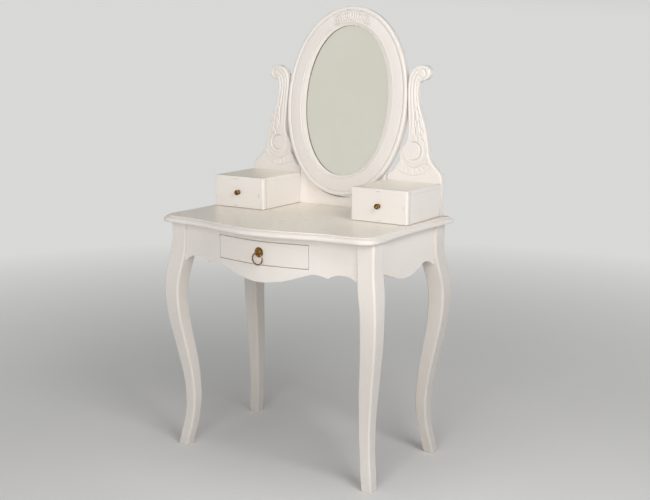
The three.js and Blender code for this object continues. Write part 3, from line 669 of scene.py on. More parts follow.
# ------------------------------------------------------------------ aprons
apron_face = monotone([0, 40, 80, 120, 160, 200, 225, 250, 275, 300, 330],
                      [-255, -252.5, -246.8, -239.8, -232, -223.2, -217.2, -212.8, -210, -208.6, -208])
_inner = [[0, 600.5], [20, 601.2], [36, 603], [53, 605.2], [69, 608], [85, 611.5], [100, 615.6], [118, 621.2],
          [134, 626.4], [150, 631.6], [163, 635.8], [176, 638.4], [190, 638.4], [204, 635.8], [214, 632.8], [222.5, 630]]
_outer = [[222.5, 630], [231, 635], [241, 639], [253, 641.9], [266, 642.9], [279, 642.5], [290, 640.8], [301, 637.2], [311, 631.6],
          [318, 626], [323, 620.5], [327, 615.5]]
_c1 = cubic(*zip(*_inner), 0.0, -0.45)
_c2 = cubic(*zip(*_outer), 0.72, None)


def apron_low(x):
    x = abs(x)
    return float(_c1(x)) if x <= 222.5 else float(_c2(x))


def loop_section(y0, y1, zb, zt, cuts, r=2.6):
    """Closed section of a board in (depth, z): front down, rounded lower edges, back up."""
    s = 1 if y1 > y0 else -1
    pts = [(y0, zt)] + [(y0, c) for c in cuts]
    for k in range(5):
        t = math.radians(22.5 * k)
        pts.append((y0 + s * r * (1 - math.cos(t)), zb + r * (1 - math.sin(t))))
    for k in range(5):
        t = math.radians(22.5 * k)
        pts.append((y1 - s * r * (1 - math.sin(t)), zb + r * (1 - math.cos(t))))
    pts += [(y1, c) for c in cuts[::-1]] + [(y1, zt)]
    return pts


def make_front_apron():
    D = 165.5
    xs = sorted(set([round(v, 3) for v in list(np.arange(-324, 325, 4.0)) + [-326, 326, -D, D, -222.5, 222.5, -221.4, 221.4, -223.6, 223.6, D + 1.2, -D - 1.2]]))
    loops = [[(x, y, z) for y, z in loop_section(float(apron_face(abs(x))), float(apron_face(abs(x))) + 20, apron_low(x), FRAME_TOP, [726.5, 653.5])] for x in xs]
    k = len(loops[0])
    F = []
    n = len(xs)
    for i in range(n - 1):
        inside = xs[i] > -D - 0.01 and xs[i + 1] < D + 0.01
        for j in range(k):
            a, b = i * k + j, i * k + (j + 1) % k
            if inside and j in (1, k - 3):
                continue
            F.append((a, b, b + k, a + k))
        if inside:
            F.append((i * k + 1, i * k + k - 2, (i + 1) * k + k - 2, (i + 1) * k + 1))
            F.append((i * k + 2, (i + 1) * k + 2, (i + 1) * k + k - 3, i * k + k - 3))
    for i, x in enumerate(xs):
        if abs(abs(x) - D) < 1e-6:
            F.append((i * k + 1, i * k + 2, i * k + k - 3, i * k + k - 2))
    F.append(tuple(range(k)))
    F.append(tuple(range((n - 1) * k, n * k)))
    V = np.array(loops).reshape(-1, 3)
    o = obj("front_apron_scalloped", V, F, angle=50)
    bevelled(o.data, [(0.9, 3, lambda m, d: abs(m.x) < 167 and m.y < float(apron_face(abs(m.x))) + 3 and 650 < m.z < 730)])
    o.data.polygons.foreach_set("use_smooth", [True] * len(o.data.polygons))
    o.data.set_sharp_from_angle(angle=math.radians(50))
    m = o.modifiers.new("weighted", "WEIGHTED_NORMAL")
    m.keep_sharp = True
    m.weight = 90
    return piece(o, "table", PAINT_AX, "painted_wood", "front_apron")


make_front_apron()

side_face = monotone([0, 60, 110, 155], [362, 363.2, 365.8, 368.5])
_sc = [[-164, 652.6], [-154, 651.2], [-147, 648.6], [-134, 644.5], [-120, 640], [-105, 635], [-90, 630], [-75, 625.2], [-60, 620.8], [-40, 616],
       [-20, 612.8], [0, 611.3], [15, 611.5], [30, 613.5], [45, 617.5], [60, 623], [72, 628.5], [85, 634.5], [97, 639.5], [110, 642.3],
       [122, 641.6], [135, 637.5], [147, 632.4], [156, 627.4], [164, 621.5]]
side_low = cubic(*zip(*_sc))


def make_side_apron(name, node, s):
    ys = list(np.arange(-164, 164.1, 4.0))
    loops = []
    for y in ys:
        xf = s * float(side_face(abs(y)))
        loops.append([(x, y, z) for x, z in loop_section(xf, xf - s * 20, float(side_low(y)), FRAME_TOP, [700.0])])
    V = np.array(loops).reshape(-1, 3)
    o = obj(name, V, columns(loops), angle=50, weighted=True)
    return piece(o, "table", PAINT_Y, "painted_wood", node)


make_side_apron("side_apron_shaped_left", "side_apron_left", -1)
make_side_apron("side_apron_shaped_right", "side_apron_right", 1)
piece(softened("back_apron_board", "back_apron", [(1.2, 2, None)]), "table", PAINT_X, "painted_wood", "back_apron")

# ------------------------------------------------------------------ centre drawer front
def make_centre_front():
    h, z0, z1 = 164.0, 655.0, 725.0
    xs = np.linspace(-h, h, 61)
    loops = []
    for x in xs:
        yf = float(apron_face(abs(x)))
        loops.append([(x, yf, z0), (x, yf, z0 + 12), (x, yf, 690), (x, yf, z1 - 12), (x, yf, z1), (x, -210, z1), (x, -210, z0)])
    V = np.array(loops).reshape(-1, 3)
    o = obj("centre_drawer_bow_front", V, columns(loops), angle=50)
    bevelled(o.data, [(1.6, 4, lambda m, d: m.y < float(apron_face(abs(m.x))) + 1.0), (0.6, 2, None)])
    o.data.polygons.foreach_set("use_smooth", [True] * len(o.data.polygons))
    o.data.set_sharp_from_angle(angle=math.radians(50))
    m = o.modifiers.new("weighted", "WEIGHTED_NORMAL")
    m.keep_sharp = True
    m.weight = 90
    return piece(o, "centre_drawer", PAINT_AX, "painted_wood", "centre_drawer_front")


make_centre_front()


# ------------------------------------------------------------------ turned and bent hardware
def lathe_y(name, profile, cx, y0, cz, segs, body, mat, slot, node, attr=None, closed=False):
    """Turned on an axis along Y; profile [(radius, distance towards the front)]."""
    V, F = [], []
    k = len(profile)
    cav = []
    for i in range(segs):
        a = 2 * math.pi * i / segs
        for j, (r, h) in enumerate(profile):
            V.append((cx + r * math.sin(a), y0 - h, cz + r * math.cos(a)))
            cav.append(attr[j] if attr else 0.0)
    for i in range(segs):
        i2 = (i + 1) % segs
        for j in range(k if closed else k - 1):
            j2 = (j + 1) % k
            F.append((i * k + j, i2 * k + j, i2 * k + j2, i * k + j2))
    o = obj(name, V, F, angle=45, attrs={"cav": cav})
    bm = bmesh.new()
    bm.from_mesh(o.data)
    bmesh.ops.remove_doubles(bm, verts=bm.verts, dist=1e-7)
    bmesh.ops.dissolve_degenerate(bm, edges=bm.edges, dist=1e-7)
    bmesh.ops.recalc_face_normals(bm, faces=bm.faces)
    bm.to_mesh(o.data)
    bm.free()
    o.data.set_sharp_from_angle(angle=math.radians(45))
    return piece(o, body, mat, slot, node)


PULL_X, PULL_Z = 3.0, 692.0
ROSE_Y = float(apron_face(PULL_X)) - 0.3
RING_Y = ROSE_Y - 9.0
rose = [(2.9, 0.0), (15.2, 0.0), (15.5, 0.25), (15.5, 0.8), (15.1, 1.25), (14.3, 1.45), (13.7, 1.3), (13.3, 1.25), (12.9, 1.45), (12.2, 1.9),
        (11.0, 2.3), (9.4, 2.6), (8.0, 2.75), (7.2, 2.7), (6.8, 2.75), (6.4, 3.0), (5.6, 3.4), (4.6, 3.6), (2.9, 3.6)]
lathe_y("ring_pull_rosette", rose, PULL_X, ROSE_Y, PULL_Z, 64, "centre_drawer", BRASS, "aged_brass", "pull_rosette",
        [0, 0, 0, 0, 0, .2, .8, .9, .5, 0, 0, 0, .3, .9, .8, .2, 0, 0, 0], closed=True)


def torus(cx, cy, cz, R, r, n, m, axis):
    V, F = [], []
    for i in range(n):
        a = 2 * math.pi * i / n
        for j in range(m):
            b = 2 * math.pi * j / m
            q, h = R + r * math.cos(b), r * math.sin(b)
            if axis == "y":
                V.append((cx + q * math.sin(a), cy + h, cz + q * math.cos(a)))
            else:
                V.append((cx + h, cy + q * math.sin(a), cz + q * math.cos(a)))
            i2, j2 = (i + 1) % n, (j + 1) % m
            F.append((i * m + j, i2 * m + j, i2 * m + j2, i * m + j2))
    return V, F


_V, _F = torus(PULL_X, RING_Y, PULL_Z - 18.0, 18.0, 2.0, 80, 18, "y")
piece(obj("ring_pull_ring", _V, _F), "pull", BRASS, "aged_brass", "pull_ring")

# drilled eye with its stem through the drawer front
_V, _F = torus(PULL_X, RING_Y, PULL_Z, 3.75, 1.45, 40, 14, "x")
_n0 = len(_V)
_prof = [(0.0, 5.6), (2.0, 5.4), (2.4, 4.6), (2.3, 2.0), (2.5, 0.5), (2.25, -0.5), (2.2, -40.0), (2.0, -54.0), (0.0, -54.4)]
_segs = 24
for _i in range(_segs):
    _a = 2 * math.pi * _i / _segs
    for _r, _h in _prof:
        _V.append((PULL_X + _r * math.sin(_a), ROSE_Y - _h, PULL_Z + _r * math.cos(_a)))
for _i in range(_segs):
    for _j in range(len(_prof) - 1):
        _a0, _b0 = _n0 + _i * len(_prof) + _j, _n0 + ((_i + 1) % _segs) * len(_prof) + _j
        _F.append((_a0, _b0, _b0 + 1, _a0 + 1))
_o = obj("ring_pull_eye", _V, _F, angle=45)
_bm = bmesh.new(); _bm.from_mesh(_o.data)
bmesh.ops.remove_doubles(_bm, verts=_bm.verts, dist=1e-7)
bmesh.ops.dissolve_degenerate(_bm, edges=_bm.edges, dist=1e-7)
bmesh.ops.recalc_face_normals(_bm, faces=_bm.faces)
_bm.to_mesh(_o.data); _bm.free()
piece(_o, "centre_drawer", BRASS, "aged_brass", "pull_post")

for _s, _side in ((-1, "left"), (1, "right")):
    _cx, _kz = _s * (BOX_IN + BOX_OUT) / 2, (TOP_Z + BOX_TOP) / 2
    _plate = [(2.6, 0.0), (6.8, 0.0), (7.0, 0.3), (6.9, 0.8), (6.3, 1.1), (5.8, 1.0), (5.5, 1.2), (5.0, 1.65), (4.4, 1.8), (2.6, 1.8)]
    lathe_y(f"{_side}_drawer_knob_plate", _plate, _cx, BOX_FRONT - 0.3, _kz, 48, f"{_side}_drawer", BRASS, "aged_brass", f"{_side}_knob_plate",
            [0, 0, 0, 0, .6, 1, .6, 0, 0, 0], closed=True)
    _knob = [(0, 4), (2.2, 4), (2.2, 0), (3.9, 0), (4.2, 0.4), (3.9, 1.2), (3.5, 2.2), (3.5, 3.4), (3.9, 4.6), (4.9, 5.5), (6.6, 6.6), (7.7, 7.9),
             (8.3, 9.3), (8.35, 10.5), (7.9, 11.9), (7.0, 12.9), (6.1, 13.4), (5.5, 13.5), (5.0, 13.35), (4.5, 13.5), (3.2, 14.3), (1.6, 14.72), (0, 14.8)]
    lathe_y(f"{_side}_drawer_turned_knob", _knob, _cx, BOX_FRONT - 2.4, _kz, 56, f"{_side}_drawer", BRASS, "aged_brass", f"{_side}_knob",
            [0, 0, 0, 0, 0, .2, .7, .8, .5, .1, 0, 0, 0, 0, 0, .1, .3, .8, 1, .7, 0, 0, 0])

# ------------------------------------------------------------------ gallery boxes
for _s, _side in ((-1, "left"), (1, "right")):
    _out = _s * BOX_OUT
    _inn = _s * BOX_IN
    top_rules = [(2.0, 4, lambda m, d, o=_out, i=_inn: m.z > 871 and (abs(m.x - o) < 1 or abs(m.x - i) < 1)),
                 (1.3, 3, lambda m, d: m.y < BOX_FRONT + 18), (0.35, 2, None)]
    piece(softened(f"{_side}_gallery_box_top", f"{_side}_box_top", top_rules), "table", PAINT_BOX_X, "painted_wood", f"{_side}_box_top")
    for _which in ("outer", "inner"):
        piece(softened(f"{_side}_gallery_box_{_which}_side", f"{_side}_box_{_which}_side",
                       [(1.5, 3, lambda m, d: m.z < 771.5), (1.3, 3, lambda m, d: m.y < BOX_FRONT + 18), (0.3, 2, None)]),
              "table", PAINT_BOX_Y, "painted_wood", f"{_side}_box_{_which}_side")
    front_rules = [(5.5, 7, lambda m, d: m.y < BOX_FRONT + 1 and abs(d.z) > 0.9 and (abs(m.x) > BOX_OUT - 1 or abs(m.x) < BOX_IN + 1)),
                   (2.2, 5, lambda m, d: m.y < BOX_FRONT + 1 and (m.z > 871 or m.z < 772)),
                   (1.3, 3, lambda m, d: m.y > BOX_FRONT + 12 and (abs(m.x) > BOX_OUT - 1 or abs(m.x) < BOX_IN + 1 or m.z > 871))]
    piece(softened(f"{_side}_gallery_drawer_front", f"{_side}_drawer_front", front_rules), f"{_side}_drawer",
          PAINT_DL_LIGHTENED if _s < 0 else PAINT_DR, "painted_wood", f"{_side}_drawer_front")

# ------------------------------------------------------------------ leaning panel and carved supports
def board_y(z):
    return BOARD_Y + LEAN * (np.asarray(z, float) - TOP_Z)


def leaning_board(name, outline, drop, cav, fine_above, step, body, mat, node, round_r=3.0, mirror=False, thick=BOARD_T, square_x=None):
    """Board of a closed anticlockwise outline (x, z), its front face lowered by drop(points, edge distance)."""
    P = np.array(outline, float)
    steps = [round_r * f for f in (0.1, 0.26, 0.5, 0.85)]
    d1 = [inset_closed(P, k) for k in steps]
    pts = [P]
    for q, k in zip(d1, steps):
        dd = seg_dist(q, P, True)
        pts.append(q[dd > 0.86 * k])
    lo, hi = P.min(0), P.max(0)
    gx = np.arange(lo[0], hi[0], step)
    gz = np.arange(fine_above, hi[1], step * 0.9)
    grid = np.array([(x + (0.5 * step if j % 2 else 0), z) for j, z in enumerate(gz) for x in gx])
    cx = np.arange(lo[0], hi[0], 14.0)
    cz = np.arange(lo[1], fine_above, 14.0)
    if len(cz):
        grid = np.vstack([grid, np.array([(x, z) for z in cz for x in cx])]) if len(gz) else np.array([(x, z) for z in cz for x in cx])
    inside = points_in(grid, P)
    grid = grid[inside]
    grid = grid[seg_dist(grid, P, True) > 0.85 * round_r + 0.45 * min(step, 3.0)]
    pts.append(grid)
    A = np.vstack(pts)
    vs, es, fs, *_ = delaunay_2d_cdt([Vector(p) for p in A], [], [list(range(len(P)))], 1, 1e-5, False)
    Q = np.array([[v.x, v.y] for v in vs])
    T = np.array([tuple(f) for f in fs if len(f) == 3])
    T = T[points_in(Q[T].mean(axis=1), P)]
    de = seg_dist(Q, P, True)
    r = round_r
    low = np.where(de < r, r - np.sqrt(np.maximum(r * r - (r - de) ** 2, 0)), 0.0)
    fade = sstep(0.0, r, de)
    if square_x:
        low = np.where(np.abs(Q[:, 0]) > square_x, low * 0.06, low)
    cut = drop(Q, de)
    low = np.maximum(low, 0) + cut * (0.25 + 0.75 * fade)
    sx = -1 if mirror else 1
    V = [(sx * x, float(board_y(z)) + l, z) for (x, z), l in zip(Q, low)]
    cv = list(cav(Q, de))
    ed = list(np.where(de < 2.2, 0.75, 0.0) + np.where(de < 1.2, 0.2, 0.0))
    # boundary of the triangulation, in order
    count = {}
    for f in T:
        for a, b in ((int(f[0]), int(f[1])), (int(f[1]), int(f[2])), (int(f[2]), int(f[0]))):
            count[(a, b)] = count.get((a, b), 0) + 1
    nxt = {a: b for (a, b) in count if (b, a) not in count}
    start = next(iter(nxt))
    ring = [start]
    while nxt[ring[-1]] != start:
        ring.append(nxt[ring[-1]])
    R = Q[ring]
    area = 0.5 * np.sum(R[:, 0] * np.roll(R[:, 1], -1) - np.roll(R[:, 0], -1) * R[:, 1])
    sgn = 1 if area > 0 else -1
    F = [tuple(f) for f in T]
    prev = ring
    for depth, ins in ((thick * 0.5, 0.0), (thick - 1.3, 0.0), (thick - 0.45, 0.35), (thick, 1.1)):
        q = inset_closed(R, sgn * ins) if ins else R
        base = len(V)
        for x, z in q:
            V.append((sx * x, float(board_y(z)) + depth, z))
            cv.append(0.0)
            ed.append(0.4 if ins else 0.0)
        now = list(range(base, base + len(q)))
        for i in range(len(q)):
            j = (i + 1) % len(q)
            F.append((prev[i], prev[j], now[j], now[i]))
        prev = now
    F.append(tuple(prev))
    o = obj(name, V, F, angle=62, weighted=True, attrs={"cav": cv, "edge": ed})
    return piece(o, body, mat, "painted_wood", node)


def points_in(Q, P):
    """Which points lie inside the polygon."""
    res = np.zeros(len(Q), bool)
    x, y = Q[:, 0], Q[:, 1]
    for (x0, y0), (x1, y1) in zip(P, np.roll(P, -1, axis=0)):
        if y0 == y1:
            continue
        c = ((y0 > y) != (y1 > y)) & (x < (x1 - x0) * (y - y0) / (y1 - y0) + x0)
        res ^= c
    return res


def make_panel():
    A, B = 230.6, 310.2
    xs = np.linspace(154, -154, 61)
    scoop = [(x, PIVOT_Z - B * (1 - abs(x / A) ** OVAL) ** (1 / OVAL)) for x in xs]
    P = [(-166.1, TOP_Z + 0.3), (-80, TOP_Z + 0.3), (0, TOP_Z + 0.3), (80, TOP_Z + 0.3), (166.1, TOP_Z + 0.3), (166.1, 830), (166.1, 888.4), (162.5, 885.6), (158, 881.4)] + scoop[1:-1] + \
        [(-158, 881.4), (-162.5, 885.6), (-166.1, 888.4), (-166.1, 830)]
    zero = lambda Q, de: np.zeros(len(Q))
    leaning_board("gallery_back_panel", P, zero, zero, 1e6, 8.0, "table", PAINT_PANEL_LIGHTENED, "back_panel", round_r=1.6, square_x=163.0)


make_panel()

_up = [[363.8, 878], [362.8, 888], [359, 898], [351, 908], [342, 917], [332, 927],
       [322.5, 938], [316.5, 949], [313, 961], [311, 976], [308.5, 992], [304.5, 1012], [299.5, 1032], [293.5, 1051], [287, 1070], [281, 1087],
       [275.5, 1104], [271.3, 1120], [268.8, 1136], [267.8, 1152], [268.2, 1166], [270, 1177], [276, 1180.6], [284, 1181.6], [292, 1184], [299, 1190],
       [303.2, 1198], [304.4, 1206.5], [301.5, 1215], [295.5, 1221.6], [287, 1225.8], [275, 1227.6], [262, 1226.4], [250, 1221.8],
       [240.5, 1214], [233.5, 1203.5], [229.6, 1191], [228.2, 1176], [228.4, 1158], [229.6, 1138], [230.8, 1118], [232.4, 1098],
       [234.6, 1074], [236.5, 1050], [236.9, 1026], [235, 1006], [229, 991], [218, 979], [210.5, 966], [208.3, 954], [210.3, 944],
       [213, 938.6], [206.6, 930], [200.6, 923.4], [195.4, 913], [186, 902.6], [176, 896.2], [166.5, 889]]
def shaped(side):
    """Upper outline of one support; the two are carved by hand and differ a little."""
    out = []
    for x, z in _up:
        t = float(sstep(1150, 1186, z))
        if side == "right":
            out.append([x + 1.4 * t - (2.2 * float(sstep(1060, 1110, z)) * (1 - t) if x > 250 else 0), z + 4.8 * t])
        else:
            out.append([x + (3.6 * t + 2 * float(sstep(1000, 1050, z)) * (1 - t) if x > 250 else 1.6 * t), z - 3.2 * t - (1.6 * t if x < 262 else 0)])
    return out


class Carver:
    """Relief of one support, as a depth below its front face."""

    def __init__(c, side):
        up = shaped(side)
        c.outline = np.vstack([[[166.5, 830], [166.5, TOP_Z + 0.3], [230, TOP_Z + 0.3], [300, TOP_Z + 0.3], [363.8, TOP_Z + 0.3], [363.8, 830]], catmull(up, 5)])
        c.inner = catmull(up[33:50], 4)      # from the top of the scroll down the inner edge
        c.outer = catmull(up[4:22], 4)       # outer edge from the foot to under the scroll
        r = side == "right"
        c.boss = np.array([276.5, 1207.4]) if r else np.array([280.5, 1199.6])
        c.boss_r = 12.6 if r else 10.6
        c.disc = np.array([257.0, 967.0]) if r else np.array([265.0, 967.0])
        c.disc_r = 29.0 if r else 24.5
        c.phase = 0.0 if r else 0.35
        # three flutes that run down the neck and fan out over the knee
        f = [[(262, 1214), (247, 1203), (239.5, 1184), (238.2, 1160), (240.5, 1120), (243.5, 1080), (245.5, 1050), (246.2, 1026), (244.0, 1006)],
             [(263, 1203), (252.5, 1190), (248.2, 1170), (248.6, 1145), (251.5, 1115), (255.5, 1085), (257.5, 1060), (257.0, 1038), (254.0, 1018)],
             [(263.5, 1186), (259.0, 1170), (258.2, 1150), (260.8, 1128), (266.0, 1104), (271.5, 1080), (275.5, 1056)]]
        dz = 4.0 if r else -3.5
        c.flutes = [catmull([(x + (0 if r else 1.2), z + dz * float(sstep(1140, 1190, z))) for x, z in p], 8) for p in f]
        # acanthus: lobes drawn as curved strokes
        L = [[(262, 1132), (264.5, 1110), (268.5, 1088), (273, 1064), (278, 1040), (283, 1016), (286, 996)],
             [(266.5, 1101), (261.5, 1092), (258.5, 1078), (260.5, 1064)],
             [(270.5, 1080), (277.5, 1074), (283.0, 1064)],
             [(273.5, 1062), (266.0, 1052), (261.5, 1036), (263.5, 1020)],
             [(277.5, 1042), (285.0, 1036), (291.5, 1024)],
             [(281.5, 1022), (274.5, 1012), (270.5, 1000)],
             [(284.5, 1004), (292.0, 1000), (298.0, 990)],
             [(259.5, 1064), (265.0, 1058), (266.5, 1047)],
             [(262.5, 1020), (268.0, 1014), (270.0, 1004)]]
        c.leaf = [catmull([(x + (0 if r else 1.5), z + (0 if r else -4)) for x, z in p], 7) for p in L]
        c.knee = [catmull(p, 8) for p in (
            [(222, 932), (238, 920), (262, 914.5), (284, 921), (299, 931), (308, 942)],
            [(203, 906), (219, 899), (236, 893), (262, 889.5), (288, 896), (305, 905), (321, 923)])]

    def __call__(c, Q, de):
        x, z = Q[:, 0], Q[:, 1]
        rb = np.hypot(*(Q - c.boss).T)
        rd = np.hypot(*(Q - c.disc).T)
        ang = np.degrees(np.arctan2(z - c.disc[1], x - c.disc[0]))
        out = np.zeros(len(Q))
        boss = c.boss_r
        away = sstep(boss + 0.8, boss + 2.6, rb)
        for p, half, depth in zip(c.flutes, (3.2, 3.8, 3.6), (1.7, 2.3, 2.0)):
            d = seg_dist(Q, p)
            end = sstep(1000, 1024, z) if half < 3.7 else sstep(1012, 1040, z)
            out = np.maximum(out, groove(d, 0.0, half, depth) * end * away)
        # scroll boss, with a valley that deepens towards the outer side
        side_deep = 0.45 + 0.55 * sstep(-8, 9, x - c.boss[0] - 0.35 * (z - c.boss[1]))
        out = np.maximum(out, groove(rb, boss + 1.4, 2.8, 3.0) * side_deep)
        out += (1 - sstep(boss - 0.6, boss + 0.4, rb)) * 1.3 * np.clip(rb / boss, 0, 1) ** 3
        # leaf strokes
        d0 = seg_dist(Q, c.leaf[0])
        lf = groove(d0, 0.0, 2.6, 2.1) * sstep(994, 1008, z) * (1 - sstep(1118, 1134, z))
        for i, p in enumerate(c.leaf[1:]):
            half, depth = (3.3, 2.4) if i < 6 else (2.2, 1.4)
            lf = np.maximum(lf, groove(seg_dist(Q, p), 0.0, half, depth))
        out = np.maximum(out, lf)
        outer = seg_dist(Q, c.outer)
        # beaded outer margin
        bead = (0.5 + 0.5 * np.cos(2 * math.pi * (z / 14.0 + c.phase))) ** 1.6 * 1.2 * (1 - sstep(3.2, 5.6, outer))
        out = np.maximum(out, bead * sstep(940, 950, z) * (1 - sstep(1090, 1112, z)) * sstep(0.4, 2.0, outer))
        out = np.maximum(out, groove(outer, 6.4, 2.2, 1.3) * sstep(936, 952, z) * (1 - sstep(1110, 1140, z)))
        # round scroll at the knee: open to the inner side, deepest on the outer side
        open_ = sstep(-16, 12, x - c.disc[0] + 6)
        R = c.disc_r
        out = np.maximum(out, groove(rd, R, 4.2, 2.9) * open_)
        out += (1 - sstep(R - 1.0, R + 0.6, rd)) * open_ * 1.2 * np.clip(rd / R, 0, 1) ** 3
        out = np.maximum(out, groove(rd, R * 0.56, 2.4, 0.9) * sstep(0, 8, x - c.disc[0]) * (1 - sstep(R * 0.8, R * 0.9, rd)))
        # hollow band round the scroll, then the shell-cut skirt
        hollow = sstep(R + 6, R + 12, rd) * (1 - sstep(46, 52, rd)) * (1 - sstep(972, 1000, z)) * sstep(4, 8, outer)
        out = np.maximum(out, 1.3 * hollow)
        out = np.maximum(out, groove(seg_dist(Q, c.knee[0]), 0.0, 3.4, 2.6))
        for a0, a1, half, depth in ((-124, -118, 2.6, 1.5), (-106, -102, 2.8, 1.9), (-86, -84, 2.4, 1.3), (-68, -66, 3.2, 2.4), (-54, -52, 2.6, 2.0),
                                    (-40, -38, 3.0, 2.6), (-140, -134, 2.4, 1.2)):
            p = np.array([[c.disc[0] + r * math.cos(math.radians(a)), c.disc[1] + r * math.sin(math.radians(a))]
                          for r, a in ((55.5, a0), (62, (a0 + a1) / 2), (70, a1))])
            out = np.maximum(out, groove(seg_dist(Q, p), 0.0, half, depth))
        out = np.maximum(out, groove(seg_dist(Q, c.knee[1]), 0.0, 2.6, 1.7))
        return np.clip(out, 0, 4.0)

    # painted shade and soil in the deepest cuts of the carving, fed to the cav attribute
    def recess_shade_and_soil(c, Q, de):
        return np.clip((c(Q, de) - 1.2) / 2.6, 0, 1) * sstep(0.8, 3.0, de)


for _side, _m in (("right", False), ("left", True)):
    _c = Carver(_side)
    leaning_board(f"carved_mirror_support_{_side}", _c.outline, _c, _c.recess_shade_and_soil, 868.0, 1.25, "table", PAINT_CARVED, f"mirror_support_{_side}", round_r=5.0, mirror=_m)


# ------------------------------------------------------------------ mirror
def oval(a, b, t):
    e, s, c = 2 / OVAL, np.sin(t), np.cos(t)
    return a * np.sign(s) * np.abs(s) ** e, b * np.sign(c) * np.abs(c) ** e


def mplace(u, v, n):
    ct, st = math.cos(TILT), math.sin(TILT)
    return (u, PIVOT_Y + v * st + n * ct, PIVOT_Z + v * ct - n * st)


def even_t(n, crest):
    """Parameters spaced evenly along the oval, closer together over the crest."""
    t = np.linspace(0, 2 * math.pi, 20001)
    u, v = oval(200, 278, t)
    d = np.hypot(np.diff(u), np.diff(v))
    um, vm = (u[1:] + u[:-1]) / 2, (v[1:] + v[:-1]) / 2
    dens = 1 + crest * ((vm > 0) & (np.abs(um) < 82))
    s = np.concatenate([[0], np.cumsum(d * dens)])
    return np.interp(np.linspace(0, s[-1], n, endpoint=False), s, t)


def crest(u, v):
    """Height of the carved ornament above the flat at the top of the frame, mm."""
    P = np.array([[u, v]])

    def stroke(pts, half, h):
        d = float(seg_dist(P, pts)[0])
        t = max(0.0, 1 - d / half)
        return h * t ** 0.7
    if abs(u) > 80 or v < 240 or v > 292:
        return 0.0
    top = 0.0
    for s in (-1, 1):
        k = 1.0 if s < 0 else 1.12
        # heart of two scrolls, then trailing leaves that follow the frame
        for pts, half, hh in CREST:
            q = [(s * a * k + (0 if s < 0 else 1.5), c - (0.0 if s < 0 else 0.8)) for a, c in pts]
            top = max(top, stroke(q, half, hh))
    return top


CREST = [
    ([(2.2, 287), (4.8, 280), (4.2, 272), (1.5, 266)], 3.0, 2.6),
    ([(5.5, 264.5), (10.5, 268), (13.0, 275), (11.0, 282), (6.5, 284.5)], 2.7, 2.4),
    ([(14.0, 263.5), (19.0, 268), (21.5, 275), (18.5, 281.5), (14.5, 280)], 2.7, 2.3),
    ([(23.0, 262.5), (28.0, 268.5), (28.5, 276), (33.0, 281)], 2.6, 2.2),
    ([(32.0, 262.0), (35.5, 268.0), (39.5, 273.5), (37.0, 278.5)], 2.6, 2.2),
    ([(41.0, 260.5), (45.0, 266.5), (48.5, 272.5)], 2.6, 2.0),
    ([(51.0, 258.5), (54.5, 264.0), (60.5, 267.5)], 2.4, 1.9),
    ([(6.0, 261.0), (22.0, 259.0), (40.0, 256.5), (56.0, 253.0), (66.0, 252.0)], 2.0, 1.5),
]


